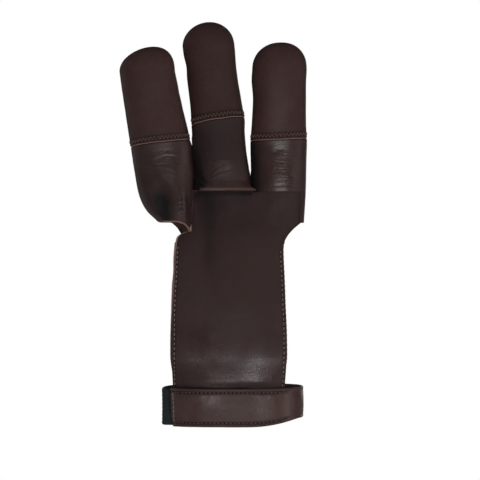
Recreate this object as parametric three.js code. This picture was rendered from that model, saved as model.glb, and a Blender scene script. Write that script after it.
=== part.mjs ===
// A three-finger archery glove of dark leather for the right hand, as worn: fingers up, palm towards -Y.
// Three sewn finger sleeves carry thick fingertip caps, a lined panel covers the palm,
// and a leather band and a woven strap close round the wrist. Millimetres, +Z up, +X towards the thumb.
// The origin is the middle of the wrist loop, at half the band's height.
import * as THREE from "three";

// Leather, lining and webbing, and the gap left between two sewn layers
const capWall = 1.2;
const sleeveWall = 1.0;
const panelWall = 1.2;
const liningWall = 1.0;
const bandWall = 1.8;
const strapWall = 1.4;
const tapeWall = 1.0;
const seamGap = 0.3;
const bandGap = 0.45;

// Wrist loop: the inner face of the leather band is a rounded oval
const loopHalfWidth = 34.9;
const loopHalfDepth = 24;
const loopSquareness = 2.8;

// Leather band, with a tail that narrows from the palm to the back of the wrist
const bandHeight = 19.2;
const tailHeight = 15.6;
const tailLift = 2.1;
const bandStartAngle = -55;
const bandStartSlant = 2;
const bandEndAngle = 236;
const bandEndRoundShare = 0.05;
const taperStartAngle = 5;
const taperEndAngle = 70;

// Woven strap, sewn behind the band's palm end and fastened under its tail
const strapHeight = 18.6;
const strapDrop = 0.4;
const strapBulge = 0.6;
const strapStartAngle = -160;
const strapEndAngle = -45;
const strapTuckAngle = -60;
const strapTuckSpan = 15;
const strapUnderTail = { from: -125, to: -100 };
const strapNarrowing = { from: -128, to: -84 };

// Fastening tape between the tail and the strap, at the back of the wrist
const tapeHeight = 12;
const tapeStartAngle = 204;
const tapeEndAngle = 232;

// Palm panel: from under the band up to the finger sleeves
const panelBelow = 7;
const palmLength = 111.75;
const panelHalfWidth = 30;
const panelCentreX = -1.2;
const heelRise = 2.6;
const heelAt = 0.27;
const heelSpread = 0.13;
const crossCurve = 3.4;
const gutterDepth = 1.1;
const gutterHalfWidth = 7;
const panelLap = 3.2;
const lapGap = 0.65;
const lapSideMargin = 2.4;
const indexLapShare = 0.95;
const indexLapSpan = 11;
const indexLapWidth = 5;
const webDrop = 1.6;
const cuspSink = 3.6;
const thumbCutHeight = 13;
const thumbCutBend = 2;
const ringCutHeight = 9.2;
const ringCutBend = 6.5;
const ringTongueGap = 0.6;
const webTongue = 1.2;
const cutBlend = 8;

// Lining behind the panel
const liningTuck = 4;
const liningProud = 0.9;

// Sewn edges of the fingers
const capLap = 8;
const hemSwell = 3.2;
const hemMargin = 0.6;
const fingerGap = 0.3;
const thumbSideGap = 0.5;
const fingerCurl = 5;
const fingerAxisY = -1;
const sectionSquareness = 2.35;

// How finely the shells are cut
const ringColumns = 26;
const sleeveRowShares = [0, 0.08, 0.18, 0.31, 0.44, 0.58, 0.72, 0.86, 1];
const capRowShares = [0, 0.12, 0.3, 0.5, 0.68, 0.79];
const domeRings = 5;
const panelColumns = 20;

// Each finger's sections from the knuckle (at 0) to the shoulder of the tip.
// Left and right are shares of the finger's width from its axis, front and back shares of its depth.
const ring = {
  width: 30,
  depth: 20,
  length: 98,
  knuckleDrop: 23.9,
  tipOffset: 0.11,
  domePower: 2,
  hemAt: 0.491,
  hemTilt: 1.9,
  hemBow: 0.3,
  sections: [
    { at: 0.0, left: 0.16, right: 0.585, front: -0.78, back: 0.42 },
    { at: 0.07, left: 0.045, right: 0.6, front: -0.8, back: 0.44 },
    { at: 0.13, left: -0.15, right: 0.615, front: -0.8, back: 0.47 },
    { at: 0.21, left: -0.285, right: 0.635, front: -0.72, back: 0.5 },
    { at: 0.35, left: -0.38, right: 0.648, front: -0.56, back: 0.5 },
    { at: 0.48, left: -0.44, right: 0.608, front: -0.51, back: 0.5 },
    { at: 0.55, left: -0.478, right: 0.563, front: -0.5, back: 0.5 },
    { at: 0.74, left: -0.567, right: 0.414, front: -0.49, back: 0.48 },
    { at: 0.8, left: -0.597, right: 0.376, front: -0.48, back: 0.465 },
    { at: 0.87, left: -0.624, right: 0.335, front: -0.47, back: 0.44 },
  ],
};
const middle = {
  width: 28,
  depth: 20,
  length: 105,
  knuckleDrop: 18.2,
  tipOffset: 0.02,
  domePower: 2,
  hemAt: 0.514,
  hemTilt: 2.1,
  hemBow: 0.7,
  sections: [
    { at: 0.0, left: -0.4, right: 0.59, front: -0.5, back: 0.5 },
    { at: 0.17, left: -0.442, right: 0.612, front: -0.56, back: 0.5 },
    { at: 0.2, left: -0.44, right: 0.607, front: -0.55, back: 0.5 },
    { at: 0.27, left: -0.438, right: 0.588, front: -0.53, back: 0.5 },
    { at: 0.36, left: -0.466, right: 0.537, front: -0.51, back: 0.5 },
    { at: 0.46, left: -0.477, right: 0.505, front: -0.5, back: 0.5 },
    { at: 0.52, left: -0.494, right: 0.505, front: -0.5, back: 0.5 },
    { at: 0.59, left: -0.512, right: 0.454, front: -0.49, back: 0.49 },
    { at: 0.72, left: -0.563, right: 0.373, front: -0.48, back: 0.47 },
    { at: 0.78, left: -0.575, right: 0.349, front: -0.475, back: 0.46 },
    { at: 0.84, left: -0.624, right: 0.331, front: -0.467, back: 0.445 },
    { at: 0.88, left: -0.645, right: 0.316, front: -0.46, back: 0.43 },
  ],
};
const index = {
  width: 29,
  depth: 20,
  length: 93.4,
  knuckleDrop: 17.1,
  tipOffset: 0.03,
  domePower: 2.2,
  hemAt: 0.462,
  hemTilt: 0.6,
  hemBow: -0.2,
  sections: [
    { at: 0.0, left: -0.47, right: 0.452, front: -0.56, back: 0.48 },
    { at: 0.17, left: -0.485, right: 0.485, front: -0.56, back: 0.5 },
    { at: 0.35, left: -0.503, right: 0.498, front: -0.52, back: 0.5 },
    { at: 0.46, left: -0.507, right: 0.507, front: -0.5, back: 0.5 },
    { at: 0.55, left: -0.485, right: 0.492, front: -0.5, back: 0.49 },
    { at: 0.69, left: -0.461, right: 0.489, front: -0.48, back: 0.48 },
    { at: 0.79, left: -0.485, right: 0.487, front: -0.47, back: 0.46 },
    { at: 0.85, left: -0.475, right: 0.496, front: -0.46, back: 0.44 },
  ],
};

// The fingers stand side by side: ring and index are set against the middle finger where they come closest.
middle.axisX = -8;
ring.axisX = middle.axisX - 0.443 * middle.width - fingerGap - 0.643 * ring.width;
index.axisX = middle.axisX + 0.607 * middle.width + thumbSideGap + 0.491 * index.width;

// Pulled folds and hollows of the thin sleeves: a share up the finger, degrees round from the palm side
// (positive towards the thumb), the reach up and round, and the depth pressed in (negative swells).
ring.dents = [
  { at: 0.33, round: -38, up: 9, across: 32, depth: 1.5 },
  { at: 0.34, round: 12, up: 6, across: 26, depth: -0.9 },
  { at: 0.19, round: -8, up: 9, across: 22, depth: 1.9 },
  { at: 0.2, round: 34, up: 10, across: 20, depth: -0.8 },
];
middle.dents = [
  { at: 0.25, round: -30, up: 5, across: 30, depth: 1.2 },
  { at: 0.3, round: 0, up: 5, across: 34, depth: -0.7 },
  { at: 0.4, round: -34, up: 9, across: 26, depth: 0.7 },
];
index.dents = [
  { at: 0.38, round: -36, up: 8, across: 26, depth: 0.6 },
  { at: 0.24, round: 4, up: 9, across: 30, depth: -0.6 },
];

// The sleeves' lower edges: height of the palm side and of the knuckle side above the finger's base,
// and how far the palm side rolls out over the panel.
const ringLip = { palmRise: 7.2, foldDrop: 4.1, backRise: 7, cornerRise: 0.6 };
const middleLip = {
  palmRise: 18.2,
  backRise: 0,
  left: { from: -0.4, to: 0.05 },
  right: { from: -0.4, to: 0.05 },
  roll: { from: 0.2, to: 0.8, out: 1.5, spread: 5.5, height: 6 },
};
const indexLip = {
  palmRise: 16.1,
  backRise: 0,
  left: { from: -0.4, to: 0.05 },
  right: { from: 0.58, to: 0.74 },
};

const rad = THREE.MathUtils.degToRad;
const lerp = THREE.MathUtils.lerp;
const clamp = THREE.MathUtils.clamp;
const smooth = (value, from, to) => {
  const t = clamp((value - from) / (to - from), 0, 1);
  return t * t * (3 - 2 * t);
};

// A smooth reading of one column of a table between its rows.
function column(rows, name, at) {
  const last = rows.length - 1;
  if (at <= rows[0].at) return rows[0][name];
  if (at >= rows[last].at) return rows[last][name];
  const i = rows.findIndex((row) => row.at > at) - 1;
  const slope = (k) => {
    const a = rows[Math.max(k - 1, 0)];
    const b = rows[Math.min(k + 1, last)];
    return (b[name] - a[name]) / (b.at - a.at);
  };
  const span = rows[i + 1].at - rows[i].at;
  const t = (at - rows[i].at) / span;
  const early = rows[i][name] * (1 + 2 * t) + slope(i) * span * t;
  const late = rows[i + 1][name] * (3 - 2 * t) - slope(i + 1) * span * (1 - t);
  return early * (1 - t) ** 2 + late * t ** 2;
}

for (const finger of [ring, middle, index]) {
  finger.baseZ = palmLength - finger.knuckleDrop;
  finger.tipZ = finger.baseZ + finger.length;
  finger.hemZ = finger.baseZ + finger.hemAt * finger.length;
  finger.shoulderAt = finger.sections[finger.sections.length - 1].at;
}

// The outer section of a finger at a height: middle point and half sizes, with the rounded dome above the shoulder.
function section(finger, z, inset = 0) {
  const at = (z - finger.baseZ) / finger.length;
  const body = Math.min(at, finger.shoulderAt);
  const left = column(finger.sections, "left", body) * finger.width;
  const right = column(finger.sections, "right", body) * finger.width;
  const front = column(finger.sections, "front", body) * finger.depth;
  const back = column(finger.sections, "back", body) * finger.depth;
  const shoulderZ = finger.baseZ + finger.shoulderAt * finger.length;
  const up = clamp((z - shoulderZ) / (finger.tipZ - inset - shoulderZ), 0, 1);
  const shrink = (1 - up ** finger.domePower) ** (1 / finger.domePower);
  const curl = fingerCurl * clamp(at, 0, 1) ** 2;
  return {
    x: finger.axisX + (left + right) / 2 + finger.tipOffset * finger.width * up ** 2,
    y: fingerAxisY - curl + (front + back) / 2,
    halfWidth: ((right - left) / 2 - inset) * shrink,
    halfDepth: ((back - front) / 2 - inset) * shrink,
  };
}

// A point on a rounded section. Angle 0 is towards the thumb and -90 degrees is the palm side.
function onSection(s, angle) {
  const power = 2 / sectionSquareness;
  const c = Math.cos(angle);
  const n = Math.sin(angle);
  return [
    s.x + s.halfWidth * Math.sign(c) * Math.abs(c) ** power,
    s.y + s.halfDepth * Math.sign(n) * Math.abs(n) ** power,
  ];
}

// How far a sleeve's surface is pressed in at a height and an angle.
function pressed(finger, z, angle) {
  const round = THREE.MathUtils.radToDeg(angle) + 90;
  return finger.dents.reduce((sum, dent) => {
    const up = (z - finger.baseZ - dent.at * finger.length) / dent.up;
    const turn = (((round - dent.round + 540) % 360) - 180) / dent.across;
    return sum + dent.depth * Math.exp(-(up * up) - turn * turn);
  }, 0);
}

const capHem = (finger, angle) =>
  finger.hemZ + finger.hemTilt * Math.cos(angle) + finger.hemBow * Math.max(0, -Math.sin(angle)) ** 2;

// A closed solid between two grids of points that have the same rows and columns.
function shell(outer, inner, wraps, closedTop = false) {
  const rows = outer.length;
  const columns = outer[0].length;
  const position = [];
  const triangles = [];
  for (const grid of [outer, inner]) {
    for (const row of grid) {
      for (const point of row) position.push(...point);
    }
  }
  const at = (side, i, j) => side * rows * columns + i * columns + (j % columns);
  const quad = (a, b, c, d) => triangles.push(a, b, c, a, c, d);
  const spans = wraps ? columns : columns - 1;
  for (let i = 0; i < rows - 1; i++) {
    for (let j = 0; j < spans; j++) {
      quad(at(0, i, j), at(0, i, j + 1), at(0, i + 1, j + 1), at(0, i + 1, j));
      quad(at(1, i, j), at(1, i + 1, j), at(1, i + 1, j + 1), at(1, i, j + 1));
    }
  }
  const top = rows - 1;
  for (let j = 0; j < spans; j++) {
    quad(at(0, 0, j), at(1, 0, j), at(1, 0, j + 1), at(0, 0, j + 1));
    if (!closedTop) quad(at(0, top, j), at(0, top, j + 1), at(1, top, j + 1), at(1, top, j));
  }
  if (!wraps) {
    const end = columns - 1;
    for (let i = 0; i < top; i++) {
      quad(at(0, i, 0), at(0, i + 1, 0), at(1, i + 1, 0), at(1, i, 0));
      quad(at(0, i, end), at(1, i, end), at(1, i + 1, end), at(0, i + 1, end));
    }
  }
  if (closedTop) {
    [outer, inner].forEach((grid, side) => {
      const pole = position.length / 3;
      position.push(...closedTop[side]);
      for (let j = 0; j < columns; j++) {
        const edge = [at(side, top, j), at(side, top, j + 1)];
        triangles.push(...(side ? edge.reverse() : edge), pole);
      }
    });
  }
  const geometry = new THREE.BufferGeometry();
  geometry.setAttribute("position", new THREE.Float32BufferAttribute(position, 3));
  geometry.setIndex(triangles);
  geometry.computeVertexNormals();
  return geometry;
}

const ringAngles = Array.from({ length: ringColumns }, (_, j) => (2 * Math.PI * (j + 0.5)) / ringColumns);

// A fingertip cap: a hollow leather thimble, open at its hem.
function fingertipCap(finger) {
  const shoulderZ = finger.baseZ + finger.shoulderAt * finger.length;
  const skin = (inset) => {
    const tipZ = finger.tipZ - inset;
    const rows = capRowShares.map((share) =>
      ringAngles.map((angle) => {
        const z = lerp(capHem(finger, angle), shoulderZ, share / capRowShares[capRowShares.length - 1]);
        return [...onSection(section(finger, z, inset), angle), z];
      }),
    );
    for (let k = 1; k <= domeRings; k++) {
      const z = shoulderZ + (tipZ - shoulderZ) * Math.sin(((k / (domeRings + 1)) * Math.PI) / 2);
      const s = section(finger, z, inset);
      rows.push(ringAngles.map((angle) => [...onSection(s, angle), z]));
    }
    const tip = section(finger, tipZ, inset);
    return { rows, pole: [tip.x, tip.y, tipZ] };
  };
  const outer = skin(0);
  const inner = skin(capWall);
  return shell(outer.rows, inner.rows, true, [outer.pole, inner.pole]);
}

// A finger sleeve: its top is tucked into the cap, and its lower edge follows edge(angle).
function fingerSleeve(finger, edge, roll = null) {
  const levels = [
    ...sleeveRowShares.map((share) => (low, hem) => lerp(low, hem - hemSwell, share)),
    (low, hem) => hem - hemMargin,
    (low, hem) => hem + capLap,
  ];
  const skin = (wall) =>
    levels.map((level) =>
      ringAngles.map((angle) => {
        const low = edge(angle);
        const hem = capHem(finger, angle);
        const z = level(low, hem);
        const tuck = smooth(z - hem, -hemSwell, -hemMargin) * (capWall + seamGap);
        const press = pressed(finger, z, angle) * smooth(hem - z, 0, hemSwell);
        const s = section(finger, z, tuck + press + wall);
        let [x, y] = onSection(s, angle);
        if (roll) {
          const palmSide = smooth(-Math.sin(angle), roll.from, roll.to);
          const near = palmSide * (1 - smooth(z - low, 0, roll.height));
          y -= roll.out * near;
          x += roll.spread * near * Math.sqrt(Math.max(0, Math.cos(angle)));
        }
        return [x, y, z];
      }),
    );
  return shell(skin(0), skin(sleeveWall), true);
}

// The ring sleeve's mouth: its lip falls to a fold against the panel, and behind it the knuckle side hangs lower.
function ringEdge(angle) {
  const across = Math.cos(angle);
  const palm = ringLip.palmRise - ringLip.foldDrop * Math.max(0, across) ** 2;
  const knuckle = lerp(ringLip.backRise, ringLip.cornerRise, smooth(across, -0.25, 0.4));
  return ring.baseZ + lerp(knuckle, palm, smooth(-Math.sin(angle), -0.5, 0.5));
}

// The middle and index sleeves are cut high on the palm side, where the panel goes in, and low at the knuckle.
const notchedEdge = (finger, lip) => (angle) => {
  const side = Math.cos(angle) > 0 ? lip.right : lip.left;
  return finger.baseZ + lerp(lip.backRise, lip.palmRise, smooth(-Math.sin(angle), side.from, side.to));
};

// The palm side of the wrist loop's oval, for what lies behind the band.
const wristBed = (x) =>
  -loopHalfDepth * (1 - Math.abs(clamp(x / loopHalfWidth, -0.98, 0.98)) ** loopSquareness) ** (1 / loopSquareness);

// The palm side of a finger's hollow, where the panel's top edge lies against the sleeve.
function fingerBed(finger, x, z) {
  const s = section(finger, z, sleeveWall + lapGap);
  const u = Math.abs((x - s.x) / s.halfWidth);
  if (u >= 1) return s.y;
  return s.y - s.halfDepth * (1 - u ** sectionSquareness) ** (1 / sectionSquareness);
}

// The panel's sides and its fall from the wrist to the fingers, up to where the two curved cuts start.
const panelTable = [
  { at: 0.0, left: -0.96, right: 0.92, fall: 0.0 },
  { at: 0.08, left: -0.97, right: 0.925, fall: 0.0 },
  { at: 0.15, left: -1.0, right: 0.937, fall: 0.0 },
  { at: 0.25, left: -1.008, right: 0.957, fall: 0.0 },
  { at: 0.38, left: -1.01, right: 0.962, fall: 0.06 },
  { at: 0.5, left: -1.005, right: 0.945, fall: 0.17 },
  { at: 0.62, left: -0.98, right: 0.928, fall: 0.33 },
  { at: 0.72, left: -0.963, right: 0.911, fall: 0.5 },
  { at: 0.8, left: -0.947, right: 0.912, fall: 0.68 },
  { at: 0.9, left: -0.947, right: 0.912, fall: 0.9 },
  { at: 1.0, left: -0.947, right: 0.912, fall: 1.0 },
];
const ringFoldZ = ring.baseZ + ringLip.palmRise - ringLip.foldDrop;
const ringCutTopZ = ringFoldZ - ringTongueGap;
const ringCutStartZ = ringCutTopZ - ringCutHeight;
const thumbCutTopZ = index.baseZ;
const thumbCutStartZ = thumbCutTopZ - thumbCutHeight;
const panelShare = (z) => (z + panelBelow) / (palmLength + panelBelow);
const palmSideHemZ = palmLength;

// The panel's sides below the cuts, and above them the ring sleeve's wall and the inside of the index sleeve's.
const palmSide = (side, z) => panelCentreX + column(panelTable, side, panelShare(z)) * panelHalfWidth;
const ringSide = (z) => {
  const s = section(ring, Math.max(z, ringFoldZ), 0);
  return s.x + s.halfWidth + 1.5 * seamGap;
};
const indexSide = (z) => {
  const s = section(index, Math.max(z, thumbCutTopZ), sleeveWall + lapGap);
  return s.x + indexLapShare * s.halfWidth;
};

// The panel's edge on the little finger's side: straight, then cut away under the ring sleeve, then along its wall.
function panelLeft(z) {
  const share = clamp((z - ringCutStartZ) / ringCutHeight, 0, 1);
  return lerp(palmSide("left", z), ringSide(z), share ** ringCutBend);
}

// The panel's edge on the thumb's side: straight, then a curved cut up to the index sleeve, then inside its wall.
function panelRight(z) {
  const share = clamp((z - thumbCutStartZ) / thumbCutHeight, 0, 1);
  return lerp(palmSide("right", z), indexSide(z), share ** thumbCutBend);
}

// A place across the panel, from -1 to 1, with the change of width at the cuts drawn out so that the palm stays smooth.
function crossPlace(x, z) {
  const left = lerp(palmSide("left", z), ringSide(z), smooth(z, ringCutStartZ - cutBlend, ringCutTopZ + cutBlend));
  const right = lerp(palmSide("right", z), indexSide(z), smooth(z, thumbCutStartZ, thumbCutTopZ + cutBlend));
  return (2 * x - left - right) / (right - left);
}

// Depth of the panel's outer face: on the wrist's oval under the band, over the heel of the hand,
// and on the sleeves' inner faces at the top.
function panelFace(x, z) {
  const at = panelShare(z);
  const q = crossPlace(x, z);
  const fall = column(panelTable, "fall", at);
  const wristY = -loopHalfDepth + seamGap;
  const fingerY = fingerAxisY + column(middle.sections, "front", 0.17) * middle.depth + sleeveWall + lapGap;
  const heel = heelRise * Math.exp(-(((at - heelAt) / heelSpread) ** 2));
  const gutter = gutterDepth * Math.exp(-(((x - panelCentreX + 9) / gutterHalfWidth) ** 2)) * smooth(at, 0.4, 0.8);
  const palm = lerp(wristY, fingerY, fall) - heel + crossCurve * q * q + gutter;
  const onWrist = 1 - smooth(z, bandHeight / 2 + 1, bandHeight / 2 + 16);
  const cusp = fingerY + cuspSink;
  const beds = Math.min(cusp, fingerBed(middle, x, z), fingerBed(index, x, z));
  const onFingers = smooth(z, palmSideHemZ - 22, palmSideHemZ - 5);
  const open = lerp(lerp(palm, wristBed(x) + bandGap, onWrist), beds, onFingers);
  const inIndex =
    smooth(z, thumbCutTopZ - indexLapSpan, thumbCutTopZ) * smooth(x, index.axisX, index.axisX + indexLapWidth);
  return Math.max(open, lerp(open, fingerBed(index, x, z), inIndex));
}

// A bent sheet between two edges, its outer face given by face(x, z) and its wall laid square to that face.
function bentSheet(heights, left, right, face, columns, wall, behind = 0) {
  const reach = 0.4;
  const skin = (depth) =>
    heights.map((height) =>
      Array.from({ length: columns + 1 }, (_, j) => {
        const share = j / columns;
        const z = typeof height === "function" ? height(share) : height;
        const x = lerp(left(z), right(z), share);
        const slopeX = (face(x + reach, z) - face(x - reach, z)) / (2 * reach);
        const slopeZ = (face(x, z + reach) - face(x, z - reach)) / (2 * reach);
        const square = depth / Math.hypot(slopeX, 1, slopeZ);
        return [x - slopeX * square, face(x, z) + square, z - slopeZ * square];
      }),
    );
  return shell(skin(behind), skin(behind + wall), false);
}

// The panel's top edge stops below the sleeves between the fingers and laps inside them behind their hems.
function panelTop(share) {
  const webTop = palmSideHemZ - webDrop;
  const x = lerp(panelLeft(palmSideHemZ), panelRight(palmSideHemZ), share);
  const lap = (finger, hem) => {
    const s = section(finger, hem, sleeveWall);
    const room = s.halfWidth - Math.abs(x - s.x);
    return smooth(room, lapSideMargin, lapSideMargin + 3) * (hem + panelLap - webTop);
  };
  const tongue = webTongue * Math.max(0, 1 - share * panelColumns);
  return webTop + tongue + lap(middle, palmSideHemZ) + lap(index, index.baseZ + indexLip.palmRise);
}

const underBandRows = [-panelBelow, -1, bandHeight / 2 - liningTuck, bandHeight / 2 + 0.8];
const palmRows = [0.14, 0.28, 0.42, 0.56, 0.7, 0.85, 1].map((t) => lerp(bandHeight / 2 + 0.8, ringCutStartZ, t));
const cutRows = [0.45, 0.75, 0.9, 0.97, 1].map((t) => lerp(ringCutStartZ, ringCutTopZ, t));
const fingerRows = [0, 0.3, 0.62, 1].map((t) => lerp(ringCutTopZ + 1.2, palmSideHemZ - 4, t));

function palmPanel() {
  const heights = [...underBandRows, ...palmRows, ...cutRows, ...fingerRows, panelTop];
  return bentSheet(heights, panelLeft, panelRight, panelFace, panelColumns, panelWall);
}

function palmLining() {
  const heights = [...underBandRows.slice(2), ...palmRows, cutRows[0]];
  const left = (z) => panelLeft(z) - liningProud;
  const right = (z) => panelRight(z) + liningProud * 0.4;
  return bentSheet(heights, left, right, panelFace, panelColumns, liningWall, panelWall + 2 * seamGap);
}

// A strip bent round the wrist: angles from the palm side towards the thumb, at a distance out from the loop's oval.
function wristStrip(startAngle, endAngle, steps, distance, wall, top, bottom, slant = 0) {
  const skin = (extra) =>
    [bottom, top].map((edge, side) =>
      Array.from({ length: steps + 1 }, (_, i) => {
        const angle = lerp(startAngle + (side ? -slant : slant), endAngle, i / steps);
        const power = 2 / loopSquareness;
        const s = Math.sin(rad(angle));
        const c = Math.cos(rad(angle));
        const out = distance(angle) + extra;
        return [
          (loopHalfWidth + out) * Math.sign(s) * Math.abs(s) ** power,
          -(loopHalfDepth + out) * Math.sign(c) * Math.abs(c) ** power,
          edge(angle, i / steps),
        ];
      }),
    );
  return shell(skin(wall), skin(0), false);
}

const roundedEnd = (share, count, from) => {
  const t = clamp((share - (1 - from)) / from, 0, 1);
  return count * (1 - Math.sqrt(1 - t * t));
};

function wristBand() {
  const narrowing = (angle) => smooth(angle, taperStartAngle, taperEndAngle);
  const top = (angle, share) =>
    lerp(bandHeight / 2, tailLift + tailHeight / 2, narrowing(angle)) - roundedEnd(share, tailHeight / 3, bandEndRoundShare);
  const bottom = (angle, share) =>
    lerp(-bandHeight / 2, tailLift - tailHeight / 2, narrowing(angle)) + roundedEnd(share, tailHeight / 3, bandEndRoundShare);
  return wristStrip(bandStartAngle, bandEndAngle, 44, () => 0, bandWall, top, bottom, bandStartSlant);
}

function closureStrap() {
  const tucked = -(bandGap + panelWall + liningWall + 4 * seamGap + strapWall);
  const behindTail = -(seamGap + tapeWall + seamGap + strapWall);
  const distance = (angle) => {
    const front = smooth(angle, strapTuckAngle - strapTuckSpan, strapTuckAngle);
    const back = 1 - smooth(angle, strapUnderTail.from, strapUnderTail.to);
    return lerp(lerp(strapBulge, behindTail, back), tucked, front);
  };
  const narrowing = (angle) => 1 - smooth(angle, strapNarrowing.from, strapNarrowing.to);
  const top = (angle) => lerp(strapHeight / 2 - strapDrop, tailLift + tailHeight / 2, narrowing(angle));
  const bottom = (angle) => lerp(-strapHeight / 2 - strapDrop, tailLift - tailHeight / 2, narrowing(angle));
  return wristStrip(strapStartAngle, strapEndAngle, 30, distance, strapWall, top, bottom);
}

function fasteningTape() {
  const edge = (side) => () => tailLift + (side * tapeHeight) / 2;
  return wristStrip(tapeStartAngle, tapeEndAngle, 10, () => -(seamGap + tapeWall), tapeWall, edge(1), edge(-1));
}

const leather = (color, roughness) => new THREE.MeshStandardMaterial({ color, roughness, metalness: 0 });
const capLeather = leather(0x3a2a27, 0.6);
const sleeveLeather = leather(0x36282a, 0.42);
const palmLeather = leather(0x382b29, 0.62);
const rawLeather = leather(0x8a5f55, 0.9);
const webbing = new THREE.MeshStandardMaterial({ color: 0x1c2222, roughness: 0.85, metalness: 0 });

const glove = new THREE.Group();
const pieces = [
  ["ring_sleeve", fingerSleeve(ring, ringEdge), sleeveLeather],
  ["middle_sleeve", fingerSleeve(middle, notchedEdge(middle, middleLip), middleLip.roll), sleeveLeather],
  ["index_sleeve", fingerSleeve(index, notchedEdge(index, indexLip)), sleeveLeather],
  ["ring_cap", fingertipCap(ring), capLeather],
  ["middle_cap", fingertipCap(middle), capLeather],
  ["index_cap", fingertipCap(index), capLeather],
  ["palm_panel", palmPanel(), palmLeather],
  ["palm_lining", palmLining(), rawLeather],
  ["wrist_band", wristBand(), palmLeather],
  ["closure_strap", closureStrap(), webbing],
  ["fastening_tape", fasteningTape(), webbing],
];
for (const [name, geometry, material] of pieces) {
  const mesh = new THREE.Mesh(geometry, material);
  mesh.name = name;
  glove.add(mesh);
}

export default glove;
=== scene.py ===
"""A worn three-finger archery glove of dark leather, seen from the palm side.

Lengths inside the classes are millimetres in the glove's own frame: +Z to the fingertips,
+X towards the thumb and -Y out of the palm. Meshes are written in metres.
"""

import logging
import math
from dataclasses import dataclass, field
from enum import Enum
from typing import Callable, Dict, List, Optional, Sequence, Tuple, Union

import bpy
import numpy as np
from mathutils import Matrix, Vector

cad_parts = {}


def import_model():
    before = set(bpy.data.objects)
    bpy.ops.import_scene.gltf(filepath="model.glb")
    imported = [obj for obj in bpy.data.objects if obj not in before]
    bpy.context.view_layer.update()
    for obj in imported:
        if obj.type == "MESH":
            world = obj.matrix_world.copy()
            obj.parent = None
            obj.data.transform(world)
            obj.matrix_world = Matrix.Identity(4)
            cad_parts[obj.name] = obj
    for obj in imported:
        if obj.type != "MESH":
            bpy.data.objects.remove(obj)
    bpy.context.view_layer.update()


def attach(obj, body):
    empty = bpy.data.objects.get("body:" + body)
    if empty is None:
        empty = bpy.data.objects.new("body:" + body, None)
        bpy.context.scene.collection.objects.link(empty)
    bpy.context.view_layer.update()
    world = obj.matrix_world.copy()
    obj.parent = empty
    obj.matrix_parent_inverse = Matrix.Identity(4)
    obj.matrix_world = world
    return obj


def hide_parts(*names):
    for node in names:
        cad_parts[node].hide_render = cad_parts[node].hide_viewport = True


LOG = logging.getLogger("archery_glove")
MM = 0.001
CAP_WALL = 1.2
SLEEVE_WALL = 1.0
PANEL_WALL = 1.2
LINING_WALL = 1.0
BAND_GAP = 0.45
TAIL_HEIGHT = 15.6
TAIL_LIFT = 2.1
Array = np.ndarray
Grid = Tuple[Array, Array]
Colour = Tuple[float, float, float]
Value = Union[float, Sequence[float], bpy.types.NodeSocket]


class Layer(Enum):
    """The faces of a leather piece, in the order of its material slots."""

    GRAIN = 0
    EDGE = 1
    FLESH = 2


class Sewing(Enum):
    """How a row of stitches is sewn."""

    STRAIGHT = "straight"
    ZIGZAG = "zigzag"


def smooth(value: Array, start: float, end: float) -> Array:
    """A soft step from 0 at start to 1 at end."""
    t = np.clip((np.asarray(value, float) - start) / (end - start), 0.0, 1.0)
    return t * t * (3 - 2 * t)


def mix(a: Array, b: Array, share: Array) -> Array:
    """A share of the way from a to b."""
    return a + (b - a) * share


def unit(vectors: Array) -> Array:
    """The same directions with a length of one."""
    return vectors / np.maximum(np.linalg.norm(vectors, axis=-1, keepdims=True), 1e-9)


def bell(distance: Array, width: float) -> Array:
    """A soft hump, one at no distance and near nothing past two widths."""
    return np.exp(-((distance / width) ** 2))


def turn_from(angle: Array, turn: float) -> Array:
    """Degrees round a finger from a turn, itself counted from the palm side, between -180 and 180."""
    return (np.degrees(angle) + 90 - turn + 540) % 360 - 180


def lattice_noise(u: Array, v: Array, seed: int, wrap: int = 0) -> Array:
    """Soft noise from -1 to 1 with cells of one unit.

    Args:
        u: First coordinate.
        v: Second coordinate.
        seed: Fixed seed of the lattice.
        wrap: Cells after which u repeats, or 0 for a long repeat.

    Returns:
        The noise at each place.
    """
    u, v = np.broadcast_arrays(np.asarray(u, float), np.asarray(v, float))
    columns = wrap or 64
    table = np.random.default_rng(seed).uniform(-1, 1, (columns, 64))
    i, j = np.floor(u).astype(int), np.floor(v).astype(int)
    s, t = u - i, v - j
    s, t = s * s * (3 - 2 * s), t * t * (3 - 2 * t)
    a, b = table[i % columns, j % 64], table[(i + 1) % columns, j % 64]
    c, d = table[i % columns, (j + 1) % 64], table[(i + 1) % columns, (j + 1) % 64]
    return mix(mix(a, b, s), mix(c, d, s), t)


def grid_tangents(points: Array, closed: bool) -> Tuple[Array, Array]:
    """Unit directions across the columns and along the rows of a grid of points.

    Args:
        points: The grid, rows by columns by three.
        closed: Whether the last column meets the first.

    Returns:
        The direction to the next column and the direction to the next row.
    """
    if closed:
        across = np.roll(points, -1, 1) - np.roll(points, 1, 1)
    else:
        across = np.gradient(points, axis=1)
    return unit(across), unit(np.gradient(points, axis=0))


@dataclass(frozen=True)
class Section:
    """One section of a finger: sides as shares of its width and depth."""

    at: float
    left: float
    right: float
    front: float
    back: float


@dataclass(frozen=True)
class Dent:
    """A place pressed into a sleeve, or swollen where the depth is negative."""

    at: float
    turn: float
    up: float
    across: float
    depth: float


@dataclass(frozen=True)
class Fold:
    """A ridge of leather on the palm side, along a curve through points (x, z)."""

    path: Tuple[Tuple[float, float], ...]
    rise: float
    width: float


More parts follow.
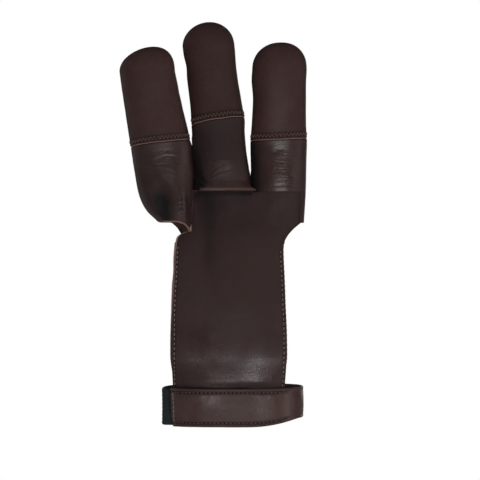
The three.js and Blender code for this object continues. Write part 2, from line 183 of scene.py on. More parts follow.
def read_column(rows: Sequence, name: str, at: Array) -> Array:
    """A smooth reading of one column of a table between its rows.

    Args:
        rows: Rows with an `at` field.
        name: The column to read.
        at: Where to read it.

    Returns:
        The values at those places.
    """
    xs = np.array([row.at for row in rows])
    ys = np.array([getattr(row, name) for row in rows])
    last = len(xs) - 1
    lower = np.maximum(np.arange(last + 1) - 1, 0)
    upper = np.minimum(np.arange(last + 1) + 1, last)
    slopes = (ys[upper] - ys[lower]) / (xs[upper] - xs[lower])
    at = np.clip(np.asarray(at, float), xs[0], xs[-1])
    i = np.clip(np.searchsorted(xs, at, side="right") - 1, 0, last - 1)
    span = xs[i + 1] - xs[i]
    t = (at - xs[i]) / span
    early = ys[i] * (1 + 2 * t) + slopes[i] * span * t
    late = ys[i + 1] * (3 - 2 * t) - slopes[i + 1] * span * (1 - t)
    return early * (1 - t) ** 2 + late * t**2


@dataclass(frozen=True)
class FingerForm:
    """The outer form of one finger of the glove, from the knuckle to the tip."""

    name: str
    width: float
    depth: float
    length: float
    knuckle_drop: float
    axis_x: float
    tip_offset: float
    dome_power: float
    hem_at: float
    hem_tilt: float
    hem_bow: float
    sections: Tuple[Section, ...]
    dents: Tuple[Dent, ...] = ()
    palm_length: float = 111.75
    curl: float = 5.0
    axis_y: float = -1.0
    squareness: float = 2.35

    @property
    def base_z(self) -> float:
        """Height of the knuckle end."""
        return self.palm_length - self.knuckle_drop

    @property
    def tip_z(self) -> float:
        """Height of the fingertip."""
        return self.base_z + self.length

    @property
    def hem_z(self) -> float:
        """Height of the cap's hem on the finger's axis."""
        return self.base_z + self.hem_at * self.length

    @property
    def shoulder_z(self) -> float:
        """Height where the rounded tip starts."""
        return self.base_z + self.sections[-1].at * self.length

    def section(self, z: Array, inset: Array = 0.0) -> Tuple[Array, Array, Array, Array]:
        """The middle and half sizes of the section at a height.

        Args:
            z: Heights.
            inset: How far inside the outer form.

        Returns:
            Middle x, middle y, half width and half depth.
        """
        at = (np.asarray(z, float) - self.base_z) / self.length
        left = read_column(self.sections, "left", at) * self.width
        right = read_column(self.sections, "right", at) * self.width
        front = read_column(self.sections, "front", at) * self.depth
        back = read_column(self.sections, "back", at) * self.depth
        room = self.tip_z - inset - self.shoulder_z
        up = np.clip((z - self.shoulder_z) / room, 0, 1)
        shrink = np.maximum(1 - up**self.dome_power, 0) ** (1 / self.dome_power)
        middle_y = self.axis_y - self.curl * np.clip(at, 0, 1) ** 2 + (front + back) / 2
        middle_x = self.axis_x + (left + right) / 2 + self.tip_offset * self.width * up**2
        half_width = ((right - left) / 2 - inset) * shrink
        half_depth = ((back - front) / 2 - inset) * shrink
        return middle_x, middle_y, half_width, half_depth

    def surface(self, angle: Array, z: Array, inset: Array = 0.0) -> Array:
        """Points round the finger, angle 0 towards the thumb and -90 degrees on the palm side."""
        x, y, half_width, half_depth = self.section(z, inset)
        power = 2 / self.squareness
        c, s = np.cos(angle), np.sin(angle)
        px = x + half_width * np.sign(c) * np.abs(c) ** power
        py = y + half_depth * np.sign(s) * np.abs(s) ** power
        return np.stack(np.broadcast_arrays(px, py, z), -1)

    def pressed(self, angle: Array, z: Array) -> Array:
        """Depth pressed in at an angle and a height."""
        total = np.zeros(np.broadcast(angle, z).shape)
        for dent in self.dents:
            up = (z - self.base_z - dent.at * self.length) / dent.up
            across = turn_from(angle, dent.turn) / dent.across
            total = total + dent.depth * np.exp(-(up**2) - across**2)
        return total

    def cap_hem(self, angle: Array) -> Array:
        """Height of the cap's hem at an angle."""
        return self.hem_z + self.hem_tilt * np.cos(angle) + self.hem_bow * np.maximum(0, -np.sin(angle)) ** 2

    def side(self, sign: int, z: Array) -> Array:
        """Where the finger is widest: towards the thumb for sign 1, away from it for -1."""
        x, _, half_width, _ = self.section(z)
        return x + sign * half_width

    def front(self, x: Array, z: Array) -> Array:
        """Depth of the palm side of the finger's form at a place across it."""
        mx, my, half_width, half_depth = self.section(z)
        u = np.clip(np.abs((x - mx) / half_width), 0, 1)
        return my - half_depth * (1 - u**self.squareness) ** (1 / self.squareness)


RING = FingerForm(
    "ring", 30, 20, 98, 23.9, -39.994, 0.11, 2.0, 0.491, 1.9, 0.3,
    (
        Section(0.0, 0.16, 0.585, -0.78, 0.42),
        Section(0.07, 0.045, 0.6, -0.8, 0.44),
        Section(0.13, -0.15, 0.615, -0.8, 0.47),
        Section(0.21, -0.285, 0.635, -0.72, 0.5),
        Section(0.35, -0.38, 0.648, -0.56, 0.5),
        Section(0.48, -0.44, 0.608, -0.51, 0.5),
        Section(0.55, -0.478, 0.563, -0.5, 0.5),
        Section(0.74, -0.567, 0.414, -0.49, 0.48),
        Section(0.8, -0.597, 0.376, -0.48, 0.465),
        Section(0.87, -0.624, 0.335, -0.47, 0.44),
    ),
    (
        Dent(0.33, -38, 9, 32, 1.5),
        Dent(0.34, 12, 6, 26, -0.9),
        Dent(0.19, -8, 9, 22, 1.9),
        Dent(0.2, 34, 10, 20, -0.8),
    ),
)
MIDDLE = FingerForm(
    "middle", 28, 20, 105, 18.2, -8.0, 0.02, 2.0, 0.514, 2.1, 0.7,
    (
        Section(0.0, -0.4, 0.59, -0.5, 0.5),
        Section(0.17, -0.442, 0.612, -0.56, 0.5),
        Section(0.2, -0.44, 0.607, -0.55, 0.5),
        Section(0.27, -0.438, 0.588, -0.53, 0.5),
        Section(0.36, -0.466, 0.537, -0.51, 0.5),
        Section(0.46, -0.477, 0.505, -0.5, 0.5),
        Section(0.52, -0.494, 0.505, -0.5, 0.5),
        Section(0.59, -0.512, 0.454, -0.49, 0.49),
        Section(0.72, -0.563, 0.373, -0.48, 0.47),
        Section(0.78, -0.575, 0.349, -0.475, 0.46),
        Section(0.84, -0.624, 0.331, -0.467, 0.445),
        Section(0.88, -0.645, 0.316, -0.46, 0.43),
    ),
    (
        Dent(0.25, -30, 5, 30, 1.2),
        Dent(0.3, 0, 5, 34, -0.7),
        Dent(0.4, -34, 9, 26, 0.7),
    ),
)
INDEX = FingerForm(
    "index", 29, 20, 93.4, 17.1, 23.735, 0.03, 2.2, 0.462, 0.6, -0.2,
    (
        Section(0.0, -0.47, 0.452, -0.56, 0.48),
        Section(0.17, -0.485, 0.485, -0.56, 0.5),
        Section(0.35, -0.503, 0.498, -0.52, 0.5),
        Section(0.46, -0.507, 0.507, -0.5, 0.5),
        Section(0.55, -0.485, 0.492, -0.5, 0.49),
        Section(0.69, -0.461, 0.489, -0.48, 0.48),
        Section(0.79, -0.485, 0.487, -0.47, 0.46),
        Section(0.85, -0.475, 0.496, -0.46, 0.44),
    ),
    (Dent(0.38, -36, 8, 26, 0.6), Dent(0.24, 4, 9, 30, -0.6)),
)


class MeshMaker:
    """Collects vertices, faces, face layers and vertex marks, and makes one closed mesh piece of them."""

    def __init__(self) -> None:
        """Starts empty."""
        self.points: List[Array] = []
        self.faces: List[Tuple[int, ...]] = []
        self.layers: List[int] = []
        self.marks: Dict[str, List[Array]] = {}
        self.count = 0

    def add_points(self, points: Array, **marks: Array) -> int:
        """Adds points with their marks and returns the first one's number."""
        flat = points.reshape(-1, 3)
        first = self.count
        for name, values in marks.items():
            kept = self.marks.setdefault(name, [])
            kept.append(np.broadcast_to(np.asarray(values, float), points.shape[:-1]).reshape(-1))
        self.points.append(flat)
        self.count += len(flat)
        return first

    def add_quads(self, a: Array, b: Array, c: Array, d: Array, layer: Layer) -> None:
        """Adds four-cornered faces given their corners' numbers."""
        quads = np.stack([a, b, c, d], -1).reshape(-1, 4)
        self.faces.extend(map(tuple, quads.tolist()))
        self.layers.extend([layer.value] * len(quads))

    def add_fan(self, rim: Array, pole: int, layer: Layer) -> None:
        """Closes a ring of points with a fan round one point."""
        for a, b in zip(rim.tolist(), np.roll(rim, -1).tolist()):
            self.faces.append((a, b, pole))
            self.layers.append(layer.value)

    def build(self, name: str, materials: Sequence[bpy.types.Material]) -> bpy.types.Object:
        """Makes the object, with smooth faces and its marks as attributes.

        Args:
            name: The piece's name.
            materials: One material for each layer in use.

        Returns:
            The new object, at the origin, with its place in its mesh.
        """
        mesh = bpy.data.meshes.new(name)
        places = np.concatenate(self.points) * MM
        mesh.from_pydata(places.tolist(), [], self.faces)
        for material in materials:
            mesh.materials.append(material)
        slots = np.minimum(self.layers, len(materials) - 1).astype(np.int32)
        mesh.polygons.foreach_set("material_index", slots)
        mesh.polygons.foreach_set("use_smooth", np.ones(len(mesh.polygons), bool))
        for mark, parts in self.marks.items():
            attribute = mesh.attributes.new(mark, "FLOAT", "POINT")
            attribute.data.foreach_set("value", np.concatenate(parts).astype(np.float32))
        mesh.update()
        piece = bpy.data.objects.new(name, mesh)
        bpy.context.scene.collection.objects.link(piece)
        return piece


def tube_rows(
    maker: MeshMaker, rows: Array, layers: Sequence[Layer], loop: bool = False, **marks: Array
) -> Array:
    """Adds a wall of rings, each joined to the next.

    Args:
        maker: Where the faces go.
        rows: Rings by columns by three.
        layers: The layer of the band after each ring.
        loop: Whether the last ring joins the first.
        marks: Vertex marks, rings by columns.

    Returns:
        The number of each vertex, rings by columns.
    """
    count, columns = rows.shape[:2]
    first = maker.add_points(rows, **marks)
    index = first + np.arange(count * columns).reshape(count, columns)
    following = np.roll(index, -1, 1)
    for i in range(count if loop else count - 1):
        j = (i + 1) % count
        maker.add_quads(index[i], index[j], following[j], following[i], layers[i])
    return index


def sheet_wall(maker: MeshMaker, outer: Array, wall: float, bulge: float, **marks: Array) -> None:
    """Adds a sheet with rounded edges, given the grid of its outer face.

    Args:
        maker: Where the faces go.
        outer: Rows by columns by three. Columns run to the right and rows run up, seen from outside.
        wall: The sheet's thickness.
        bulge: How far its rounded edge stands out.
        marks: Vertex marks of the outer face, carried to the edge and the back.
    """
    across, along = grid_tangents(outer, False)
    normal = unit(np.cross(across, along))
    middle = outer - normal * (wall / 2)
    rows: List[Tuple[Array, Array, Array, float, bool, int]] = []
    turns = [math.radians(v) for v in (78, 50, 22)]
    last = len(outer) - 1
    for a in turns:
        place = middle[0] - along[0] * bulge * math.sin(a)
        rows.append((place, normal[0], across[0], math.cos(a), True, 0))
    for i in range(len(outer)):
        rows.append((middle[i], normal[i], across[i], 1.0, False, i))
    for a in reversed(turns):
        place = middle[last] + along[last] * bulge * math.sin(a)
        rows.append((place, normal[last], across[last], math.cos(a), True, last))
    loops, ends = [], []
    loop_marks: Dict[str, List[Array]] = {name: [] for name in marks}
    sides = [math.radians(v) for v in (25, 55, 90, 125, 155)]
    for place, out, side, share, is_end, source in rows:
        half = wall / 2 * share
        right = [place[-1] + out[-1] * half * math.cos(a) + side[-1] * bulge * math.sin(a) for a in sides]
        left = [place[0] + out[0] * half * math.cos(a) - side[0] * bulge * math.sin(a) for a in sides[::-1]]
        loops.append(np.concatenate([place + out * half, right, (place - out * half)[::-1], left]))
        ends.append(is_end)
        for name, values in marks.items():
            row = np.broadcast_to(values, outer.shape[:2])[source]
            loop_marks[name].append(
                np.concatenate([row, np.full(len(sides), row[-1]), row[::-1], np.full(len(sides), row[0])])
            )
    stacked = np.array(loops)
    count, total = stacked.shape[:2]
    columns = outer.shape[1]
    first = maker.add_points(stacked, **{name: np.array(values) for name, values in loop_marks.items()})
    index = first + np.arange(count * total).reshape(count, total)
    following = np.roll(index, -1, 1)
    front = np.arange(columns - 1)
    back = np.arange(columns + len(sides), 2 * columns + len(sides) - 1)
    rim = np.setdiff1d(np.arange(total), np.concatenate([front, back]))
    for i in range(count - 1):
        edge_row = ends[i] or ends[i + 1]
        for columns_of, layer in ((front, Layer.GRAIN), (rim, Layer.EDGE), (back, Layer.FLESH)):
            maker.add_quads(
                index[i][columns_of], following[i][columns_of], following[i + 1][columns_of],
                index[i + 1][columns_of], Layer.EDGE if edge_row else layer,
            )
    pairs = [(j, 2 * columns + len(sides) - 1 - j) for j in range(columns)]
    for row, flip in ((index[0], False), (index[-1], True)):
        for (f0, b0), (f1, b1) in zip(pairs[:-1], pairs[1:]):
            face = (row[f0], row[b0], row[b1], row[f1])
            maker.faces.append(tuple(int(v) for v in (reversed(face) if flip else face)))
            maker.layers.append(Layer.EDGE.value)
        right_ring = [row[columns - 1 + k] for k in range(len(sides) + 2)]
        left_ring = [row[(2 * columns + len(sides) - 1 + k) % total] for k in range(len(sides) + 2)]
        for ring in (right_ring, left_ring):
            order = ring if flip else ring[::-1]
            maker.faces.append(tuple(int(v) for v in order))
            maker.layers.append(Layer.EDGE.value)


class NodeWriter:
    """Short ways to add and join nodes in one tree."""

    def __init__(self, tree: bpy.types.NodeTree) -> None:
        """Keeps the tree that the nodes go into."""
        self.tree = tree

    def add(self, kind: str, inputs: Optional[Dict] = None, **settings: object) -> bpy.types.Node:
        """Adds a node, with its settings, and fills or joins its inputs.

        Args:
            kind: The node's type.
            inputs: Values or sockets by input name or number.
            settings: Properties of the node.

        Returns:
            The new node.
        """
        node = self.tree.nodes.new(kind)
        for key, value in settings.items():
            setattr(node, key, value)
        for key, value in (inputs or {}).items():
            if isinstance(value, bpy.types.NodeSocket):
                self.tree.links.new(value, node.inputs[key])
            else:
                node.inputs[key].default_value = value
        return node

    def maths(self, operation: str, *values: Value) -> bpy.types.NodeSocket:
        """A Math node's result."""
        return self.add("ShaderNodeMath", dict(enumerate(values)), operation=operation).outputs[0]

    def vector(self, operation: str, *values: Value) -> bpy.types.NodeSocket:
        """A Vector Math node's result."""
        slots = (0, "Scale") if operation == "SCALE" else (0, 1)
        return self.add("ShaderNodeVectorMath", dict(zip(slots, values)), operation=operation).outputs[0]

    def millimetres(self) -> bpy.types.NodeSocket:
        """The place on the object in millimetres."""
        return self.vector("SCALE", self.add("ShaderNodeTexCoord").outputs["Object"], 1 / MM)

    def ramp(
        self, value: Value, start: float, end: float, low: float = 0.0, high: float = 1.0
    ) -> bpy.types.NodeSocket:
        """A value mapped from one range to another, clamped."""
        return self.add(
            "ShaderNodeMapRange",
            {0: value, 1: start, 2: end, 3: low, 4: high},
            interpolation_type="SMOOTHSTEP",
        ).outputs[0]

    def blend(self, share: Value, first: Value, second: Value) -> bpy.types.NodeSocket:
        """A mix of two colours."""
        return self.add(
            "ShaderNodeMix", {0: share, 6: first, 7: second}, data_type="RGBA", blend_type="MIX"
        ).outputs[2]


class ShaderGroups:
    """The effects that several materials share, each built once."""

    _made: Dict[str, bpy.types.NodeTree] = {}

    @classmethod
    def _group(cls, name: str, inputs: Dict[str, Tuple[str, float]], outputs: Dict[str, str]) -> NodeWriter:
        """A new empty group with named sockets."""
        tree = bpy.data.node_groups.new(name, "ShaderNodeTree")
        for key, (kind, value) in inputs.items():
            socket = tree.interface.new_socket(key, in_out="INPUT", socket_type=kind)
            if kind == "NodeSocketFloat":
                socket.default_value = value
        for key, kind in outputs.items():
            tree.interface.new_socket(key, in_out="OUTPUT", socket_type=kind)
        cls._made[name] = tree
        return NodeWriter(tree)

    @classmethod
    def grain(cls) -> bpy.types.NodeTree:
        """Leather grain: pebbles, pores and drawn-out creases, as a height, a crease mask and a mottling."""
        if "leather_grain" in cls._made:
            return cls._made["leather_grain"]
        w = cls._group(
            "leather_grain",
            {
                "Place": ("NodeSocketVector", 0),
                "Pebble Size": ("NodeSocketFloat", 0.9),
                "Pebble Depth": ("NodeSocketFloat", 0.3),
                "Crease Size": ("NodeSocketFloat", 2.0),
                "Crease Depth": ("NodeSocketFloat", 0.5),
                "Crease Stretch": ("NodeSocketFloat", 3.0),
                "Crease Area": ("NodeSocketFloat", 1.0),
            },
            {"Height": "NodeSocketFloat", "Crease": "NodeSocketFloat", "Mottle": "NodeSocketFloat"},
        )
        given = w.add("NodeGroupInput").outputs
        place = w.vector("SCALE", given["Place"], 1 / MM)
        warp = w.add("ShaderNodeTexNoise", {"Vector": place, "Scale": 0.35, "Detail": 2.0}).outputs["Color"]
        bent = w.vector("ADD", place, w.vector("SCALE", w.vector("SUBTRACT", warp, (0.5, 0.5, 0.5)), 1.6))
        small = w.vector("SCALE", bent, w.maths("DIVIDE", 1.0, given["Pebble Size"]))
        cells = w.add(
            "ShaderNodeTexVoronoi", {"Vector": small, "Scale": 1.0, "Smoothness": 0.6}, feature="SMOOTH_F1"
        ).outputs["Distance"]
        pores = w.add(
            "ShaderNodeTexNoise", {"Vector": small, "Scale": 2.3, "Detail": 4.0, "Roughness": 0.6}
        ).outputs["Fac"]
        pebble = w.maths("ADD", w.maths("MULTIPLY", cells, -0.7), w.maths("MULTIPLY", pores, 0.7))
        parts = w.add("ShaderNodeSeparateXYZ", {"Vector": bent}).outputs
        tall = w.maths("MULTIPLY", parts["Z"], given["Crease Stretch"])
        drawn = w.add("ShaderNodeCombineXYZ", {"X": parts["X"], "Y": parts["Y"], "Z": tall}).outputs[0]
        long = w.vector("SCALE", drawn, w.maths("DIVIDE", 1.0, given["Crease Size"]))
        folds = w.add(
            "ShaderNodeTexNoise",
            {"Vector": long, "Scale": 1.0, "Detail": 3.0, "Roughness": 0.55, "Distortion": 0.35},
        ).outputs["Fac"]
        ridge = w.maths("SUBTRACT", 1.0, w.maths("ABSOLUTE", w.maths("MULTIPLY_ADD", folds, 4.0, -2.0)))
        crease = w.maths("MULTIPLY", w.maths("MAXIMUM", ridge, 0.0), given["Crease Area"])
        soft = w.maths("MULTIPLY", w.maths("MULTIPLY", folds, given["Crease Area"]), 1.2)
        creased = w.maths("SUBTRACT", soft, w.maths("MULTIPLY", crease, 0.35))
        fine = w.maths("MULTIPLY", pebble, given["Pebble Depth"])
        height = w.maths("ADD", fine, w.maths("MULTIPLY", creased, given["Crease Depth"]))
        mottle = w.add(
            "ShaderNodeTexNoise", {"Vector": place, "Scale": 0.11, "Detail": 5.0, "Roughness": 0.6}
        ).outputs["Fac"]
        w.add("NodeGroupOutput", {"Height": height, "Crease": crease, "Mottle": mottle})
        return w.tree

    @classmethod
    def tone(cls) -> bpy.types.NodeTree:
        """Leather colour and roughness from its mottling, rubbed places, painted highlights on glossy spots,
        and painted shade in creases and hollows.
        """
        if "leather_tone" in cls._made:
            return cls._made["leather_tone"]
        w = cls._group(
            "leather_tone",
            {
                "Base": ("NodeSocketColor", 0),
                "Light": ("NodeSocketColor", 0),
                "Dark": ("NodeSocketColor", 0),
                "Mottle": ("NodeSocketFloat", 0.5),
                "Crease": ("NodeSocketFloat", 0.0),
                "Wear And Highlight": ("NodeSocketFloat", 0.0),
                "Shade": ("NodeSocketFloat", 0.0),
                "Smoothest": ("NodeSocketFloat", 0.4),
                "Roughest": ("NodeSocketFloat", 0.6),
            },
            {"Color": "NodeSocketColor", "Roughness": "NodeSocketFloat"},
        )
        given = w.add("NodeGroupInput").outputs
        cloudy = w.ramp(given["Mottle"], 0.3, 0.75)
        colour = w.blend(w.maths("MULTIPLY", cloudy, 0.45), given["Base"], given["Light"])
        # Painted highlight: the mark of rubbing and highlight blends the colour towards the light colour and
        # makes it glossier.
        worn_or_lit = w.maths("MINIMUM", w.maths("MULTIPLY", given["Wear And Highlight"], 0.55), 1.0)
        colour = w.blend(worn_or_lit, colour, given["Light"])
        # Painted shade: the grain's creases and the shade mark blend the colour towards the dark colour.
        deep = w.maths("ADD", w.maths("MULTIPLY", given["Crease"], 0.3), given["Shade"])
        colour = w.blend(w.maths("MINIMUM", deep, 1.0), colour, given["Dark"])
        dull = w.maths("MULTIPLY_ADD", cloudy, 0.3, w.maths("MULTIPLY_ADD", given["Shade"], 0.4, 0.6))
        rough = w.ramp(w.maths("SUBTRACT", dull, w.maths("MULTIPLY", given["Wear And Highlight"], 0.85)), 0.0, 1.0)
        span = w.maths("SUBTRACT", given["Roughest"], given["Smoothest"])
        roughness = w.maths("MULTIPLY_ADD", rough, span, given["Smoothest"])
        w.add("NodeGroupOutput", {"Color": colour, "Roughness": roughness})
        return w.tree


def shader_tree(name: str) -> Tuple[bpy.types.Material, NodeWriter, bpy.types.Node]:
    """A new material with its Principled shader."""
    material = bpy.data.materials.new(name)
    material.use_nodes = True
    tree = material.node_tree
    return material, NodeWriter(tree), next(n for n in tree.nodes if n.type == "BSDF_PRINCIPLED")


@dataclass(frozen=True)
class LeatherFinish:
    """Finished leather: its colours, gloss, grain and creases. Sizes are millimetres."""

    name: str
    base: Colour
    light: Colour
    dark: Colour
    smoothest: float = 0.42
    roughest: float = 0.62
    pebble_size: float = 0.9
    pebble_depth: float = 0.25
    crease_size: float = 3.0
    crease_depth: float = 0.35
    crease_stretch: float = 3.0
    bump: float = 0.35
    specular: float = 0.2
    raw: Colour = (0.27, 0.165, 0.145)

    def material(self) -> bpy.types.Material:
        """The material, with the marks of the piece read from its vertices: rubbing and painted highlight,
        painted shade, crinkle and cut.
        """
        material, w, shader = shader_tree(self.name)
        place = w.add("ShaderNodeTexCoord").outputs["Object"]
        marks = {
            key: w.add("ShaderNodeAttribute", attribute_name=key).outputs["Fac"]
            for key in ("wear", "shade", "crinkle", "cut")
        }
        grain = w.add("ShaderNodeGroup", node_tree=ShaderGroups.grain())
        for key, value in {
            "Pebble Size": self.pebble_size,
            "Pebble Depth": self.pebble_depth,
            "Crease Size": self.crease_size,
            "Crease Depth": self.crease_depth,
            "Crease Stretch": self.crease_stretch,
        }.items():
            grain.inputs[key].default_value = value
        w.tree.links.new(place, grain.inputs["Place"])
        w.tree.links.new(marks["crinkle"], grain.inputs["Crease Area"])
        tone = w.add("ShaderNodeGroup", node_tree=ShaderGroups.tone())
        for key, value in {"Base": self.base, "Light": self.light, "Dark": self.dark}.items():
            tone.inputs[key].default_value = (*value, 1.0)
        tone.inputs["Smoothest"].default_value = self.smoothest
        tone.inputs["Roughest"].default_value = self.roughest
        for key, value in {
            "Mottle": grain.outputs["Mottle"],
            "Crease": grain.outputs["Crease"],
            "Wear And Highlight": marks["wear"],
            "Shade": marks["shade"],
        }.items():
            w.tree.links.new(value, tone.inputs[key])
        bump = w.add("ShaderNodeBump", {"Height": grain.outputs["Height"]})
        bump.inputs["Strength"].default_value = self.bump
        bump.inputs["Distance"].default_value = 0.4 * MM
        colour = w.blend(marks["cut"], tone.outputs["Color"], (*self.raw, 1.0))
        w.tree.links.new(colour, shader.inputs["Base Color"])
        w.tree.links.new(tone.outputs["Roughness"], shader.inputs["Roughness"])
        w.tree.links.new(bump.outputs["Normal"], shader.inputs["Normal"])
        shader.inputs["Specular IOR Level"].default_value = self.specular
        return material


@dataclass(frozen=True)
class RawFinish:
    """The fibrous flesh side or cut edge of leather."""

    name: str
    base: Colour
    pale: Colour
    fibre_size: float = 0.35
    roughness: float = 0.85
    bump: float = 0.5

    def material(self) -> bpy.types.Material:
        """The material: fibres in two tones, paler where the piece is marked pale."""
        material, w, shader = shader_tree(self.name)
        place = w.millimetres()
        pale = w.add("ShaderNodeAttribute", attribute_name="pale").outputs["Fac"]
        fibre = w.add(
            "ShaderNodeTexNoise",
            {"Vector": place, "Scale": 1 / self.fibre_size, "Detail": 5.0, "Roughness": 0.7},
        ).outputs["Fac"]
        cloud = w.add("ShaderNodeTexNoise", {"Vector": place, "Scale": 0.25, "Detail": 3.0}).outputs["Fac"]
        hairy = w.maths("MULTIPLY", w.ramp(fibre, 0.3, 0.7), 0.35)
        share = w.maths("ADD", hairy, w.maths("MULTIPLY", cloud, 0.3))
        share = w.maths("MULTIPLY", share, w.maths("MULTIPLY_ADD", pale, 1.2, 0.25))
        share = w.maths("ADD", share, w.maths("MULTIPLY", pale, 0.45))
        colour = w.blend(w.maths("MINIMUM", share, 1.0), (*self.base, 1.0), (*self.pale, 1.0))
        bump = w.add("ShaderNodeBump", {"Height": fibre})
        bump.inputs["Strength"].default_value = self.bump
        bump.inputs["Distance"].default_value = 0.25 * MM
        w.tree.links.new(colour, shader.inputs["Base Color"])
        w.tree.links.new(bump.outputs["Normal"], shader.inputs["Normal"])
        roughness = w.ramp(fibre, 0.2, 0.8, self.roughness - 0.1, self.roughness + 0.08)
        w.tree.links.new(roughness, shader.inputs["Roughness"])
        shader.inputs["Specular IOR Level"].default_value = 0.25
        return material


@dataclass(frozen=True)
class ThreadFinish:
    """Twisted sewing thread."""

    name: str
    base: Colour
    light: Colour
    twist_size: float = 0.35

    def material(self) -> bpy.types.Material:
        """The material: fine slanting plies."""
        material, w, shader = shader_tree(self.name)
        place = w.millimetres()
        plies = w.add(
            "ShaderNodeTexWave",
            {"Vector": place, "Scale": 1 / self.twist_size, "Distortion": 1.5, "Detail": 2.0},
            bands_direction="DIAGONAL",
        ).outputs["Fac"]
        uneven = w.add("ShaderNodeTexNoise", {"Vector": place, "Scale": 0.6, "Detail": 2.0}).outputs["Fac"]
        share = w.maths("MULTIPLY_ADD", plies, 0.5, w.maths("MULTIPLY", uneven, 0.5))
        bump = w.add("ShaderNodeBump", {"Height": plies})
        bump.inputs["Strength"].default_value = 0.4
        bump.inputs["Distance"].default_value = 0.08 * MM
        w.tree.links.new(w.blend(share, (*self.base, 1.0), (*self.light, 1.0)), shader.inputs["Base Color"])
        w.tree.links.new(w.ramp(uneven, 0.2, 0.8, 0.6, 0.78), shader.inputs["Roughness"])
        w.tree.links.new(bump.outputs["Normal"], shader.inputs["Normal"])
        return material


@dataclass(frozen=True)
class WebbingFinish:
    """Black woven elastic or hook and loop tape."""

    name: str
    base: Colour
    light: Colour
    rib: float = 0.9
    roughness: float = 0.88
    bump: float = 0.6

    def material(self) -> bpy.types.Material:
        """The material: fine upright ribs crossed by the weave, with a little lint."""
        material, w, shader = shader_tree(self.name)
        place = w.millimetres()
        parts = w.add("ShaderNodeSeparateXYZ", {"Vector": place}).outputs
        turn = 2 * math.pi / self.rib
        rows = w.maths("SINE", w.maths("MULTIPLY", parts["Z"], turn))
        round_it = w.maths("ADD", parts["X"], parts["Y"])
        posts = w.maths("SINE", w.maths("MULTIPLY", round_it, turn * 1.3))
        weave = w.maths("MULTIPLY_ADD", w.maths("MULTIPLY", rows, posts), 0.5, 0.5)
        lint = w.add(
            "ShaderNodeTexNoise", {"Vector": place, "Scale": 2.2, "Detail": 5.0, "Roughness": 0.75}
        ).outputs["Fac"]
        height = w.maths("ADD", weave, w.maths("MULTIPLY", lint, 0.7))
        share = w.maths("MULTIPLY", w.maths("ADD", weave, w.ramp(lint, 0.45, 0.75)), 0.45)
        bump = w.add("ShaderNodeBump", {"Height": height})
        bump.inputs["Strength"].default_value = self.bump
        bump.inputs["Distance"].default_value = 0.2 * MM
        w.tree.links.new(w.blend(share, (*self.base, 1.0), (*self.light, 1.0)), shader.inputs["Base Color"])
        roughness = w.ramp(lint, 0.2, 0.8, self.roughness - 0.1, self.roughness + 0.1)
        w.tree.links.new(roughness, shader.inputs["Roughness"])
        w.tree.links.new(bump.outputs["Normal"], shader.inputs["Normal"])
        shader.inputs["Specular IOR Level"].default_value = 0.1
        return material


